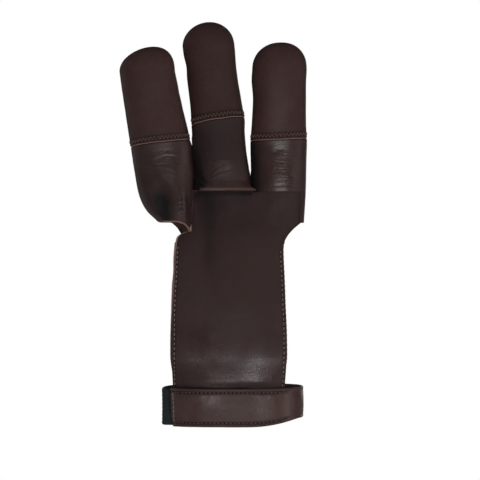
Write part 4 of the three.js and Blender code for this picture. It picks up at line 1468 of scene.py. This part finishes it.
@dataclass
class PalmShape:
    """The palm panel's outline and the depth of its outer face."""

    below: float = 7.0
    length: float = 111.75
    half_width: float = 30.0
    centre_x: float = -1.2
    heel_rise: float = 2.6
    cross_curve: float = 3.4
    gutter_depth: float = 1.1
    gutter_half_width: float = 7.0
    lap: float = 3.2
    lap_gap: float = 0.65
    lap_side_margin: float = 2.4
    web_sink: float = 1.3
    cusp_sink: float = 0.5
    ring_gap: float = -0.25
    cut_blend: float = 8.0
    ring_fold_z: float = RING.base_z + 3.1
    ring_cut: float = 9.2
    thumb_cut_top: float = INDEX.base_z
    thumb_cut: float = 13.0
    index_seam: float = 0.835
    index_reach: float = 0.9
    band_half: float = 9.6
    loop: WristLoop = WristLoop()
    band_gap: float = BAND_GAP
    sleeve_wall: float = SLEEVE_WALL
    index_edge: Callable[[Array], Array] = notched_edge(INDEX, INDEX_HEM_RISE, (-0.4, 0.05), (0.56, 0.62))
    table: Tuple[PalmRow, ...] = (
        PalmRow(0.0, -0.96, 0.92, 0.0),
        PalmRow(0.08, -0.97, 0.925, 0.0),
        PalmRow(0.15, -1.0, 0.937, 0.0),
        PalmRow(0.25, -1.008, 0.957, 0.0),
        PalmRow(0.38, -1.01, 0.962, 0.06),
        PalmRow(0.5, -1.005, 0.945, 0.17),
        PalmRow(0.62, -0.98, 0.928, 0.33),
        PalmRow(0.72, -0.963, 0.911, 0.5),
        PalmRow(0.8, -0.947, 0.912, 0.68),
        PalmRow(0.9, -0.947, 0.912, 0.9),
        PalmRow(1.0, -0.947, 0.912, 1.0),
    )

    @property
    def ring_cut_top(self) -> float:
        """Where the cut beside the ring sleeve's lip ends."""
        return self.ring_fold_z - 0.6

    @property
    def finger_front(self) -> float:
        """Depth of the middle finger's palm side at the panel's upper end."""
        return MIDDLE.axis_y + float(read_column(MIDDLE.sections, "front", 0.17)) * MIDDLE.depth

    def share(self, z: Array) -> Array:
        """Height as a share of the panel."""
        return (z + self.below) / (self.length + self.below)

    def side(self, name: str, z: Array) -> Array:
        """One long side below the cuts."""
        return self.centre_x + read_column(self.table, name, self.share(z)) * self.half_width

    def ring_side(self, z: Array) -> Array:
        """Where the panel meets the ring sleeve above its cut."""
        return RING.side(1, np.maximum(z, self.ring_fold_z)) + self.ring_gap

    def index_side(self, z: Array) -> Array:
        """Where the panel ends inside the index sleeve."""
        x, _, half, _ = INDEX.section(np.maximum(z, self.thumb_cut_top))
        return x + self.index_reach * half

    def left(self, z: Array) -> Array:
        """The edge on the little finger's side."""
        share = np.clip((z - self.ring_cut_top + self.ring_cut) / self.ring_cut, 0, 1)
        return mix(self.side("left", z), self.ring_side(z), share**6.5)

    def right(self, z: Array) -> Array:
        """The edge on the thumb's side."""
        share = np.clip((z - self.thumb_cut_top + self.thumb_cut) / self.thumb_cut, 0, 1)
        return mix(self.side("right", z), self.index_side(z), share**2)

    def place(self, x: Array, z: Array) -> Array:
        """Place across the panel from -1 to 1, its change of width at the cuts drawn out."""
        ring_top = self.ring_cut_top
        on_ring = smooth(z, ring_top - self.ring_cut - self.cut_blend, ring_top + self.cut_blend)
        on_index = smooth(z, self.thumb_cut_top - self.thumb_cut, self.thumb_cut_top + self.cut_blend)
        left = mix(self.side("left", z), self.ring_side(z), on_ring)
        right = mix(self.side("right", z), self.index_side(z), on_index)
        return (2 * x - left - right) / (right - left)

    def index_bed(self, x: Array, z: Array) -> Array:
        """Depth on the index finger: flush with its sleeve, and behind it above its hem and past its seam."""
        over = z - INDEX.base_z - INDEX_HEM_RISE
        middle_x, _, half, _ = INDEX.section(np.maximum(z, INDEX.base_z))
        past = x - middle_x - self.index_seam * half
        behind = 0.36 * smooth(over, 0.0, 0.7) + 1.2 * smooth(over, 0.7, 3.0)
        behind = np.maximum(behind, 0.4 * smooth(past, 0.0, 0.9))
        return INDEX.front(x, np.maximum(z, INDEX.base_z)) + 0.08 + behind

    def finger_beds(self, x: Array, z: Array) -> Array:
        """Depth under the fingers: flush with the sleeves below their edges, behind them above."""
        in_middle = 0.1 + 1.0 * smooth(z, self.length - 1.2, self.length + 2.8)
        fronts = np.minimum(MIDDLE.front(x, z) + in_middle, self.index_bed(x, z))
        web = self.finger_front + self.web_sink + 2.6 * smooth(-x, 13.0, 20.5)
        soft = -0.45 * np.logaddexp(-fronts / 0.45, -web / 0.45)
        deep = np.minimum(fronts, self.finger_front + self.cusp_sink + self.sleeve_wall + self.lap_gap)
        return mix(soft, deep, smooth(z, self.length - 4.0, self.length - 0.4))

    def face(self, x: Array, z: Array) -> Array:
        """Depth of the outer face."""
        at = self.share(z)
        q = self.place(x, z)
        wrist_y = -self.loop.half_depth + 0.3
        inset = self.sleeve_wall + self.lap_gap
        finger_y = self.finger_front + inset
        heel = self.heel_rise * bell(at - 0.27, 0.13)
        gutter = self.gutter_depth * bell(x - self.centre_x + 9, self.gutter_half_width)
        gutter = gutter * smooth(at, 0.4, 0.8)
        palm = mix(wrist_y, finger_y, read_column(self.table, "fall", at)) - heel
        palm = palm + self.cross_curve * q * q + gutter
        on_wrist = 1 - smooth(z, self.band_half + 1, self.band_half + 16)
        u = np.abs(np.clip(x / self.loop.half_width, -0.98, 0.98)) ** self.loop.squareness
        bed = -self.loop.half_depth * (1 - u) ** (1 / self.loop.squareness) + self.band_gap
        on_fingers = smooth(z, self.length - 24, self.length - 6)
        depth = mix(mix(palm, bed, on_wrist), self.finger_beds(x, z), on_fingers)
        on_index = smooth(z, INDEX.base_z - 11, INDEX.base_z) * smooth(x, INDEX.axis_x, INDEX.axis_x + 7)
        return mix(depth, self.index_bed(x, z), on_index)

    def top(self, x: Array) -> Array:
        """Height of the top edge: it laps inside the sleeves and stops below them between the fingers."""
        web = mix(self.length - 0.35, INDEX.base_z + 16.0, smooth(x, 8.4, 10.4))
        height = web + 0 * x
        for finger, hem in ((MIDDLE, self.length), (INDEX, INDEX.base_z + INDEX_HEM_RISE)):
            middle_x, _, half, _ = finger.section(np.array(hem), self.sleeve_wall)
            room = half - np.abs(x - middle_x)
            inside = smooth(room, self.lap_side_margin, self.lap_side_margin + 3)
            height = height + inside * (hem + self.lap - web)
        return height


@dataclass
class PalmPanel:
    """The leather panel over the palm, with stitched long edges."""

    shape: PalmShape
    wall: float = PANEL_WALL
    bulge: float = 0.4
    columns: int = 150
    seam_inset: float = 1.55
    # Glossy spots are lightened as painted highlights on the heel and painted light on the lower left; dark
    # spots are painted shade at the fingers' roots.
    polish_highlights: Tuple[Spot, ...] = (
        Spot(16, 18, 12, 8.5, 1.1),
        Spot(-7, 14, 11, 4.5, 0.95),
        Spot(-19, 26, 8, 12, 0.45),
        Spot(-6, 36, 24, 14, 0.3),
    )
    dark: Tuple[Spot, ...] = (Spot(-19.5, 111, 3, 3.5, 0.8), Spot(-5, 104, 12, 8, 0.35))
    seed: int = 29

    def relief(self, x: Array, z: Array) -> Array:
        """How far soft folds and the pull of the seams stand out."""
        s = self.shape
        out = 0.3 * lattice_noise(x / 17, z / 24, self.seed)
        out = out + 0.07 * lattice_noise(x / 6, z / 9, self.seed + 1)
        lines = smooth(z, 84, 94) * (1 - smooth(z, 108, 111)) * bell(x + 15.8, 3.2)
        out = out + 0.035 * np.cos((x + 15.8) * 2 * np.pi / 1.7) * lines
        valley = np.abs(x - mix(-12.4, -13.6, smooth(z, 70, 110)))
        out = out - 0.35 * bell(valley, 4.2) * smooth(z, 52, 88)
        over_band = smooth(z, s.band_half + 0.2, 13.5) * (1 - smooth(z, 13.5, 24.5))
        out = out + (0.7 * bell(x + 1, 24) + 0.7 * bell(x - 18, 13)) * over_band
        out = out - 1.6 * bell(x + 19.8, 2.6) * smooth(z, 106, 111)
        for edge in (x - s.left(z) - self.seam_inset, s.right(z) - x - self.seam_inset):
            pull = bell(edge, 0.8) * (1 - smooth(z, s.ring_fold_z - 8, s.ring_fold_z - 2))
            out = out - (0.16 + 0.05 * np.cos(z * 2 * np.pi / 2.5)) * pull
        near_band = bell(z - s.band_half - 3.5, 3.0)
        out = out + 0.07 * near_band * lattice_noise(x / 5, z / 1.6, self.seed + 2)
        return out

    def surface(self, x: Array, z: Array) -> Array:
        """Points of the outer face."""
        y = self.shape.face(x, z) - self.relief(x, z)
        return np.stack(np.broadcast_arrays(x, y, z), -1)

    def build(self, wardrobe: Wardrobe) -> bpy.types.Object:
        """Makes the panel."""
        s = self.shape
        cut_top = s.ring_cut_top
        levels = np.concatenate([
            np.linspace(-s.below + self.bulge, cut_top - 7, 118),
            np.linspace(cut_top - 6.6, cut_top - 2.2, 14),
            cut_top - 2.1 * np.linspace(1, 0, 22) ** 1.6,
            np.linspace(cut_top + 0.5, s.length - 4, 28),
        ])
        even = np.linspace(0, 1, self.columns)[None, :]
        share = even - 0.5 * np.sin(2 * np.pi * even) / (2 * np.pi)
        left = s.left(levels)[:, None] + self.bulge
        right = s.right(levels)[:, None] - self.bulge
        x = mix(left, right, share)
        z = np.broadcast_to(levels[:, None], x.shape)
        end = np.array(s.length)
        top_x = mix(s.left(end) + self.bulge, s.right(end) - self.bulge, share[0])
        top_z = s.top(top_x) - self.bulge
        steps = np.linspace(0, 1, 14)[1:, None]
        x = np.concatenate([x, np.broadcast_to(top_x, (13, self.columns))])
        z = np.concatenate([z, mix(levels[-1], top_z[None, :], steps)])
        outer = self.surface(x, z)
        maker = MeshMaker()
        edge = np.minimum(x - s.left(z), s.right(z) - x)
        rub = np.maximum(0, lattice_noise(x / 12, z / 14, self.seed + 6))
        wear = 0.2 * rub + Spot.on_sheet(self.polish_highlights, x, z)
        # Painted shade along the seams, a painted shadow line above the band, and painted shade down the
        # valley and towards the fingers.
        shade = 0.3 * bell(edge - self.seam_inset, 0.7) + 0.95 * bell(z - s.band_half - 0.3, 1.1)
        shade = shade + 0.5 * bell(x + 12.5, 3.6) * smooth(z, 60, 82) + 0.25 * smooth(z, 78, 98)
        shade = shade + Spot.on_sheet(self.dark, x, z)
        cut = (0.35 * smooth(z, 44, 62) + 0.65 * smooth(z, 79, 85)) * (1 - smooth(z, 92.5, 94))
        cut = cut * (1 - smooth(x - s.left(z) - self.bulge, 0.2, 0.65 + 0.4 * smooth(z, 84, 88)))
        # Painted shadow under the middle sleeve's rolled hem.
        under_roll = smooth(x, -21.5, -19.5) * (1 - smooth(x, 9.0, 11.0))
        shade = shade + 0.9 * bell(z - s.length + 1.4, 1.2) * under_roll
        pale = (0.25 * smooth(z, 40, 60) + 0.7 * smooth(z, 76, 86)) * (1 - smooth(z, 91.5, 93))
        pale = pale * (1 - smooth(x - s.left(z), 1.0, 2.0))
        crinkle = 0.35 + 0.5 * bell(z - s.band_half - 4, 6) + 0.3 * rub
        shade = np.minimum(shade, 1.0)
        marks = {"wear": wear, "shade": shade, "crinkle": crinkle, "pale": pale, "cut": cut}
        sheet_wall(maker, outer, self.wall, self.bulge, **marks)
        materials = [wardrobe["palm_leather"], wardrobe["panel_edge"], wardrobe["flesh_side"]]
        return maker.build("palm_panel_leather", materials)

    def stitch_paths(self) -> Tuple[Grid, Grid]:
        """The two long rows, from the band up."""
        s = self.shape
        paths = []
        for sign, start, end in ((1, s.band_half + 1.2, 83.5), (-1, s.band_half + 1.2, 80.0)):
            z = np.linspace(start, end, 160)
            x = s.left(z) + self.seam_inset if sign > 0 else s.right(z) - self.seam_inset
            points = self.surface(x, z)
            side = self.surface(x + 0.2, z) - points
            up = self.surface(x, z + 0.2) - points
            paths.append((points, unit(np.cross(side, up))))
        return paths[0], paths[1]

    def stitches(self, row: SewnRow) -> bpy.types.Object:
        """Sews both rows."""
        spec = StitchSpec(Sewing.STRAIGHT, 2.5, "pale_thread", radius=0.19, rise=0.85, sink=0.7, hole=0.4)
        return row.sew("palm_panel_stitches", list(self.stitch_paths()), spec)


@dataclass
class PalmLining:
    """The second sheet behind the panel, proud of it along the little finger's side."""

    shape: PalmShape
    panel: PalmPanel
    wall: float = LINING_WALL
    proud: float = 0.9
    behind: float = 1.8
    bulge: float = 0.35
    columns: int = 60

    def build(self, wardrobe: Wardrobe) -> bpy.types.Object:
        """Makes the lining."""
        s = self.shape
        upper_edge = s.ring_cut_top - 0.55 * s.ring_cut
        z_line = np.linspace(s.band_half - 4 + self.bulge, upper_edge - self.bulge, 110)
        wave = 0.25 * lattice_noise(z_line / 7, 0.5, 41)
        left = s.left(z_line) - self.proud - wave + self.bulge
        right = s.right(z_line) + self.proud * 0.4 - self.bulge
        x = mix(left[:, None], right[:, None], np.linspace(0, 1, self.columns)[None, :])
        z = np.broadcast_to(z_line[:, None], x.shape)
        face = self.panel.surface(x, z)
        across, along = grid_tangents(face, False)
        normal = unit(np.cross(across, along))
        outer = face - normal * self.behind
        outer = outer + normal * 0.35 * bell(x - left[:, None] - 0.3, 1.3)[..., None]
        pale = smooth(z, 38, 56) * (1 - smooth(x, -29, -26)) * 1.1 + 0.02
        maker = MeshMaker()
        sheet_wall(maker, outer, self.wall, self.bulge, wear=0.2, shade=0.1, crinkle=0.3, pale=pale)
        lining = wardrobe["lining_leather"]
        return maker.build("palm_lining_leather", [lining, lining, wardrobe["flesh_side"]])


def rounded_end(share: Array, span: float) -> Array:
    """How far a strip's edge has turned in near its far end, as a share of one."""
    t = np.clip((share - (1 - span)) / span, 0, 1)
    return 1 - np.sqrt(1 - t * t)


@dataclass
class WristBand:
    """The stitched leather band from the palm side round the thumb side to the back."""

    loop: WristLoop
    height: float = 19.2
    tail_height: float = TAIL_HEIGHT
    tail_lift: float = TAIL_LIFT
    start: float = -55.0
    slant: float = 2.0
    end: float = 236.0
    taper: Tuple[float, float] = (5.0, 70.0)
    wall: float = 1.8
    bulge: float = 0.5
    columns: int = 330
    rows: int = 46
    seam_inset: float = 1.75
    # A glossy spot, lightened as a painted highlight.
    polish_highlights: Tuple[Spot, ...] = (Spot(-21, 4.6, 13, 3.6, 1.3),)
    swells: Tuple[Spot, ...] = (Spot(-23, 7, 13, 4, 0.38),)
    seed: int = 53

    def edges(self, degrees: Array, share: Array) -> Tuple[Array, Array]:
        """Heights of the lower and upper edges."""
        narrow = smooth(degrees, *self.taper)
        turned = rounded_end(share, 0.05) * self.tail_height / 3
        top = mix(self.height / 2, self.tail_lift + self.tail_height / 2, narrow) - turned
        bottom = mix(-self.height / 2, self.tail_lift - self.tail_height / 2, narrow) + turned
        return bottom, top

    def relief(self, degrees: Array, z: Array, low: Array, high: Array) -> Array:
        """How far the leather stands out of the loop's outer face."""
        out = 0.12 * lattice_noise(degrees / 17, z / 8, self.seed)
        out = out + 0.05 * lattice_noise(degrees / 5, z / 2.6, self.seed + 1)
        out = out + 0.3 * (1 - ((z - (low + high) / 2) / ((high - low) / 2)) ** 2)
        on_panel = 1 - smooth(degrees, 38, 60)
        for edge in (high - z, z - low):
            out = out - 0.28 * bell(edge - self.seam_inset, 0.75) * on_panel
            out = out + 0.16 * bell(edge - 0.45, 0.5)
        out = out + Spot.on_sheet(self.swells, degrees, z)
        from_start = (degrees - self.start) * 0.56
        out = out - 0.28 * bell(from_start - 2.0, 0.75)
        return out

    def surface(self, degrees: Array, z: Array) -> Array:
        """Points of the outer face."""
        share = (degrees - self.start) / (self.end - self.start)
        low, high = self.edges(degrees, share)
        return self.loop.place(degrees, self.wall - 0.35 + self.relief(degrees, z, low, high), z)

    def build(self, wardrobe: Wardrobe) -> bpy.types.Object:
        """Makes the band."""
        degrees = self.loop.even_turns(self.start, self.end, self.columns)[None, :]
        share = (degrees - self.start) / (self.end - self.start)
        rise = np.linspace(0, 1, self.rows)[:, None]
        slant = self.slant * (1 - 2 * rise) * (1 - smooth(share, 0, 0.1))
        low, high = self.edges(degrees, share)
        z = mix(low + self.bulge, high - self.bulge, rise)
        turned = degrees + slant + 0.8 * (1 - share)
        outer = self.surface(turned, z)
        edge = np.minimum(z - low, high - z)
        rub = np.maximum(0, lattice_noise(turned / 15, z / 7, self.seed + 3))
        # Rubbing, painted highlights along the rounded edges and on the glossy spot, and a lighter, glossier
        # stretch where the band turns round the thumb side.
        wear = 0.25 * rub + 0.6 * bell(edge - 0.6, 0.55) + Spot.on_sheet(self.polish_highlights, turned, z)
        wear = wear + 0.7 * smooth(turned, 4, 34) * (1 - smooth(turned, 64, 84))
        # Painted shade in the grooves of the stitch rows on the palm side.
        shade = 0.75 * bell(edge - self.seam_inset, 0.8) * (1 - smooth(turned, 42, 52))
        pale = 0.25 + 0.5 * (1 - smooth(share, 0.004, 0.02)) + 0 * z
        marks = {"wear": wear, "shade": shade, "crinkle": 0.5 + 0.5 * rub, "pale": pale}
        maker = MeshMaker()
        sheet_wall(maker, outer, self.wall - 0.35, self.bulge, **marks)
        materials = [wardrobe["band_leather"], wardrobe["dark_edge"], wardrobe["flesh_side"]]
        return maker.build("wrist_band_leather", materials)

    def row_path(self, degrees: Array, z: Array) -> Grid:
        """A path on the outer face with its outward normals."""
        points = self.surface(degrees, z)
        ahead = self.surface(degrees + 0.3, z) - points
        up = self.surface(degrees, z + 0.2) - points
        return points, unit(np.cross(ahead, up))

    def stitches(self, row: SewnRow) -> Tuple[bpy.types.Object, bpy.types.Object]:
        """Sews the long rows and the pale row across the palm end."""
        top_turns = self.loop.even_turns(self.start + 4.5, 40.0, 240)
        low_turns = self.loop.even_turns(self.start + 4.5, 31.0, 220)
        _, high = self.edges(top_turns, 0 * top_turns)
        low, _ = self.edges(low_turns, 0 * low_turns)
        paths = [
            self.row_path(top_turns, high - self.seam_inset),
            self.row_path(low_turns, low + self.seam_inset + 0.1),
        ]
        long_rows = StitchSpec(
            Sewing.STRAIGHT, 2.1, "brown_thread", radius=0.22, rise=0.36, sink=0.22, hole=0.5
        )
        rise = np.linspace(-self.height / 2 + 2.0, self.height / 2 - 2.0, 60)
        slanted = self.start + 4.0 - self.slant * rise / (self.height / 2)
        cross = StitchSpec(Sewing.STRAIGHT, 2.2, "pale_thread", radius=0.27, rise=0.36, sink=0.2, hole=0.4)
        return (
            row.sew("wrist_band_stitches", paths, long_rows),
            row.sew("wrist_band_end_stitches", [self.row_path(slanted, rise)], cross),
        )


@dataclass
class ClosureStrap:
    """The black woven strap from behind the band's palm end round to the back."""

    loop: WristLoop
    height: float = 18.6
    drop: float = 0.4
    start: float = -160.0
    end: float = -45.0
    tuck_angle: float = -60.0
    tuck_span: float = 15.0
    bulge_out: float = 0.6
    wall: float = 1.4
    edge_bulge: float = 0.35
    tail_height: float = TAIL_HEIGHT
    tail_lift: float = TAIL_LIFT
    tape_wall: float = 1.0
    gap: float = 0.3
    under_tail: Tuple[float, float] = (-125.0, -100.0)
    narrowing: Tuple[float, float] = (-128.0, -84.0)
    rib_count: int = 9
    columns: int = 200
    rows: int = 40

    def out(self, degrees: Array) -> Array:
        """Distance of the inner face from the loop."""
        tucked = -(BAND_GAP + PANEL_WALL + LINING_WALL + 4 * self.gap + self.wall)
        behind_tail = -(self.gap + self.tape_wall + self.gap + self.wall)
        front = smooth(degrees, self.tuck_angle - self.tuck_span, self.tuck_angle)
        back = 1 - smooth(degrees, *self.under_tail)
        return mix(mix(self.bulge_out, behind_tail, back), tucked, front)

    def build(self, wardrobe: Wardrobe) -> bpy.types.Object:
        """Makes the strap, with raised ribs along it and soft selvedges."""
        degrees = self.loop.even_turns(self.start, self.end, self.columns)[None, :]
        rise = np.linspace(0, 1, self.rows)[:, None]
        narrow = 1 - smooth(degrees, *self.narrowing)
        high = mix(self.height / 2 - self.drop, self.tail_lift + self.tail_height / 2, narrow)
        low = mix(-self.height / 2 - self.drop, self.tail_lift - self.tail_height / 2, narrow)
        z = mix(low + self.edge_bulge, high - self.edge_bulge, rise)
        ribs = 0.07 * np.sin(rise * 2 * np.pi * self.rib_count)
        ribs = ribs + 0.1 * lattice_noise(degrees / 9, z / 6, 61)
        selvedge = 0.12 * (bell(z - low - 1.0, 0.7) + bell(high - z - 1.0, 0.7))
        outer = self.loop.place(degrees, self.out(degrees) + self.wall - 0.12 + ribs + selvedge, z)
        maker = MeshMaker()
        sheet_wall(maker, outer, self.wall - 0.12, self.edge_bulge)
        return maker.build("closure_strap_webbing", [wardrobe["strap_webbing"]])


@dataclass
class FasteningTape:
    """The plain hidden tape that closes the band's tail on the strap."""

    loop: WristLoop
    height: float = 12.0
    start: float = 204.0
    end: float = 232.0
    wall: float = 1.0
    gap: float = 0.3
    tail_lift: float = TAIL_LIFT

    def build(self, wardrobe: Wardrobe) -> bpy.types.Object:
        """Makes the tape."""
        degrees = self.loop.even_turns(self.start, self.end, 60)[None, :]
        z = self.tail_lift + np.linspace(-self.height / 2 + 0.3, self.height / 2 - 0.3, 30)[:, None]
        outer = self.loop.place(degrees, -self.gap + 0.05 * lattice_noise(degrees, z, 71), z)
        maker = MeshMaker()
        sheet_wall(maker, outer, self.wall, 0.3)
        return maker.build("fastening_tape_web", [wardrobe["fastening_tape"]])


@dataclass
class Studio:
    """Camera, soft lights, pale surroundings and a floor well below the held glove."""

    centre: Tuple[float, float] = (3.64, 85.79)
    distance: float = 1300.0
    frame_size: float = 249.6
    floor_drop: float = 0.3

    def camera(self) -> None:
        """A long lens square to the palm, at the height of its middle."""
        data = bpy.data.cameras.new("palm_camera")
        data.sensor_width = 36.0
        data.lens = 36.0 * self.distance / self.frame_size
        data.clip_end = 60.0
        camera = bpy.data.objects.new("palm_camera", data)
        camera.location = (self.centre[0] * MM, -self.distance * MM, self.centre[1] * MM)
        camera.rotation_euler = (math.pi / 2, 0.0, 0.0)
        bpy.context.scene.collection.objects.link(camera)
        bpy.context.scene.camera = camera

    def light(self, name: str, place: Colour, size: Tuple[float, float], power: float) -> None:
        """One soft rectangular light aimed at the middle of the glove.

        Args:
            name: The light's name.
            place: Where it stands, in metres.
            size: Its width and height, in metres.
            power: Its power, in watts.
        """
        data = bpy.data.lights.new(name, "AREA")
        data.shape = "RECTANGLE"
        data.size, data.size_y = size
        data.energy = power
        lamp = bpy.data.objects.new(name, data)
        lamp.location = place
        aim = Vector((0.0, 0.0, 0.09)) - Vector(place)
        lamp.rotation_euler = aim.to_track_quat("-Z", "Y").to_euler()
        bpy.context.scene.collection.objects.link(lamp)

    def world(self) -> None:
        """White to the eye, a dim grey room as light."""
        world = bpy.data.worlds.new("studio_air")
        world.use_nodes = True
        w = NodeWriter(world.node_tree)
        world.node_tree.nodes.clear()
        eye = w.add("ShaderNodeLightPath").outputs["Is Camera Ray"]
        seen = w.add("ShaderNodeBackground", {"Color": (1.0, 1.0, 1.0, 1.0), "Strength": 1.0}).outputs[0]
        felt = w.add("ShaderNodeBackground", {"Color": (0.97, 0.98, 1.0, 1.0), "Strength": 0.07}).outputs[0]
        both = w.add("ShaderNodeMixShader", {0: eye, 1: felt, 2: seen}).outputs[0]
        w.add("ShaderNodeOutputWorld", {"Surface": both})
        bpy.context.scene.world = world

    def floor(self) -> None:
        """A wide pale floor."""
        mesh = bpy.data.meshes.new("pale_floor")
        s, z = 12.0, -self.floor_drop
        mesh.from_pydata([(-s, -s, z), (s, -s, z), (s, s, z), (-s, s, z)], [], [(0, 1, 2, 3)])
        material, w, shader = shader_tree("pale_floor")
        shader.inputs["Base Color"].default_value = (0.9, 0.9, 0.9, 1.0)
        shader.inputs["Roughness"].default_value = 0.9
        shader.inputs["Specular IOR Level"].default_value = 0.1
        eye = w.add("ShaderNodeLightPath").outputs["Is Camera Ray"]
        glow = w.add("ShaderNodeEmission", {"Color": (1.0, 1.0, 1.0, 1.0), "Strength": 1.0}).outputs[0]
        both = w.add("ShaderNodeMixShader", {0: eye, 1: shader.outputs[0], 2: glow}).outputs[0]
        end = next(n for n in w.tree.nodes if n.type == "OUTPUT_MATERIAL")
        w.tree.links.new(both, end.inputs["Surface"])
        mesh.materials.append(material)
        floor = bpy.data.objects.new("pale_floor", mesh)
        bpy.context.scene.collection.objects.link(floor)

    def build(self) -> None:
        """Sets up everything that isn't the glove."""
        self.camera()
        self.world()
        self.floor()
        self.light("front_soft", (0.12, -1.2, -0.1), (0.46, 0.34), 7.0)
        self.light("top_soft", (-0.25, -0.55, 1.1), (0.9, 0.7), 2.6)
        self.light("left_strip", (-1.0, 0.3, 0.15), (0.3, 1.2), 2.8)
        self.light("right_strip", (0.9, -0.4, 0.15), (0.35, 1.1), 3.0)
        self.light("back_soft", (0.35, 1.2, 0.35), (0.8, 0.8), 5.0)
        bpy.context.scene.view_settings.view_transform = "Standard"


RING_FOLDS = (
    Fold(
        ((-41.5, 127.0), (-39.6, 121.0), (-34.0, 117.0), (-27.5, 110.0), (-24.6, 102.0), (-24.2, 94.5)),
        0.36, 2.5,
    ),
    Fold(((-37.5, 111.0), (-37.2, 106.0), (-38.6, 99.5)), -0.9, 4.8),
    Fold(((-45.0, 112.0), (-43.4, 107.5), (-41.6, 103.5)), 0.3, 2.8),
    Fold(((-41.6, 125.8), (-38.5, 125.2), (-36.0, 126.0)), 0.2, 0.6),
    Fold(((-41.6, 122.8), (-38.0, 123.6), (-33.0, 123.0)), 0.18, 0.6),
    Fold(((-40.0, 128.6), (-34.0, 130.2), (-26.0, 129.6)), 0.12, 0.7),
    Fold(((-28.5, 99.6), (-25.5, 101.4), (-23.0, 101.8)), 0.16, 0.6),
    Fold(((-28.0, 105.4), (-25.0, 106.6), (-22.5, 107.4)), 0.14, 0.6),
)
MIDDLE_FOLDS = (
    Fold(((-13.2, 125.8), (-5.4, 127.2), (0.4, 126.8)), 0.18, 0.65),
    Fold(((-11.2, 119.4), (-7.8, 121.8), (-4.6, 124.2)), 0.36, 0.5),
    Fold(((-12.6, 121.6), (-8.8, 123.7), (-6.0, 125.2)), 0.3, 0.45),
    Fold(((-10.6, 118.0), (-5.6, 120.0), (-1.2, 121.2)), 0.28, 0.5),
    Fold(((-13.4, 123.8), (-10.2, 125.0), (-7.0, 125.6)), 0.24, 0.45),
    Fold(((-17.8, 117.4), (-15.0, 115.8), (-12.0, 114.4)), -0.5, 0.9),
    Fold(((-19.2, 120.0), (-18.6, 116.0), (-17.6, 112.0)), -0.5, 1.8),
)
INDEX_FOLDS = (Fold(((14.0, 133.5), (20.0, 131.0), (25.0, 132.5)), -0.15, 1.6),)


def main() -> None:
    """Builds the glove piece by piece and sets up the studio."""
    logging.basicConfig(level=logging.INFO, format="%(name)s: %(message)s")
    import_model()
    studio = Studio()
    studio.build()
    wardrobe = Wardrobe()
    sewing = SewnRow(wardrobe)
    shape = PalmShape()
    panel = PalmPanel(shape)
    loop = WristLoop()
    band = WristBand(loop)
    middle_roll = HemRoll(0.15, 0.8, 1.5, 7.4, 6.0)
    # The sleeves' glossy spots are painted highlights and their dark spots painted shade.
    sleeves = (
        FingerSleeve(
            RING, ring_edge, (Neighbour(1, MIDDLE, 0.8, 1.5),), folds=RING_FOLDS, bevel=0.6, pale=0.75,
            pale_from=-38.0, edge_finish="raw_edge", seed=11,
            wrinkled=(Spot(12, 126, 34, 5, 0.8), Spot(38, 105, 26, 9, 0.8)),
            polish_highlights=(Spot(14, 129, 28, 7, 0.6), Spot(14, 116, 18, 6, 0.45), Spot(38, 106, 16, 9, 0.6)),
            dark=(Spot(-16, 100, 22, 9, 1.1), Spot(-8, 108, 20, 8, 0.5), Spot(-52, 118, 22, 14, 0.3)),
        ),
        FingerSleeve(
            MIDDLE, notched_edge(MIDDLE, 17.4, (-0.4, 0.05), (-0.4, 0.05)),
            (Neighbour(-1, RING, 0.2, 1.5), Neighbour(1, INDEX, 0.5, 0.86)),
            roll=middle_roll, folds=MIDDLE_FOLDS, pale=0.1, seed=17,
            wrinkled=(Spot(0, 124, 26, 6, 0.5),), polish_highlights=(Spot(2, 124, 20, 6, 0.45),),
            dark=(Spot(-58, 120, 22, 14, 1.0), Spot(-42, 115, 12, 2.5, 0.8), Spot(0, 138, 80, 16, 0.6)),
        ),
        FingerSleeve(
            INDEX, shape.index_edge, (Neighbour(-1, MIDDLE, 0.5, 0.86),), folds=INDEX_FOLDS, pale=0.0,
            edge_finish="sleeve_leather", feather=1.0, bevel=0.12, seed=23,
            wrinkled=(Spot(4, 114.5, 34, 5.5, 0.55),), dark=(Spot(-62, 118, 28, 30, 1.0),),
            polish_highlights=(Spot(3, 115, 28, 8, 0.95), Spot(0, 126, 24, 7, 0.75), Spot(-2, 137, 20, 5, 0.8)),
        ),
    )
    pieces: List[Tuple[bpy.types.Object, str, str]] = []
    # The index cap's glossy spot is a painted highlight; the middle cap is darker all over.
    caps = (
        FingertipCap(RING, seed=3),
        FingertipCap(MIDDLE, darkened=0.22, seed=5),
        FingertipCap(INDEX, polish_highlights=(Spot(-6, 152, 17, 15, 1.1),), seed=7),
    )
    for cap in caps:
        pieces.append((cap.build(wardrobe), f"{cap.finger.name}_cap", "cap_leather"))
        pieces.append((cap.stitches(sewing), "", "cap_leather"))
    for sleeve in sleeves:
        pieces.append((sleeve.build(wardrobe), f"{sleeve.finger.name}_sleeve", "sleeve_leather"))
        if sleeve.roll:
            pieces.append((sleeve.hem_stitches(sewing), "", "sleeve_leather"))
    pieces.append((panel.build(wardrobe), "palm_panel", "palm_leather"))
    pieces.append((panel.stitches(sewing), "", "palm_leather"))
    pieces.append((PalmLining(shape, panel).build(wardrobe), "palm_lining", "lining_leather"))
    pieces.append((band.build(wardrobe), "wrist_band", "band_leather"))
    pieces += [(stitches, "", "band_leather") for stitches in band.stitches(sewing)]
    pieces.append((ClosureStrap(loop).build(wardrobe), "closure_strap", "strap_webbing"))
    pieces.append((FasteningTape(loop).build(wardrobe), "fastening_tape", "fastening_tape"))
    for piece, node, slot in pieces:
        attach(piece, "root")
        if node:
            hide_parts(node)
        LOG.info("%s: %d faces", piece.name, len(piece.data.polygons))


if __name__ == "__main__":
    main()
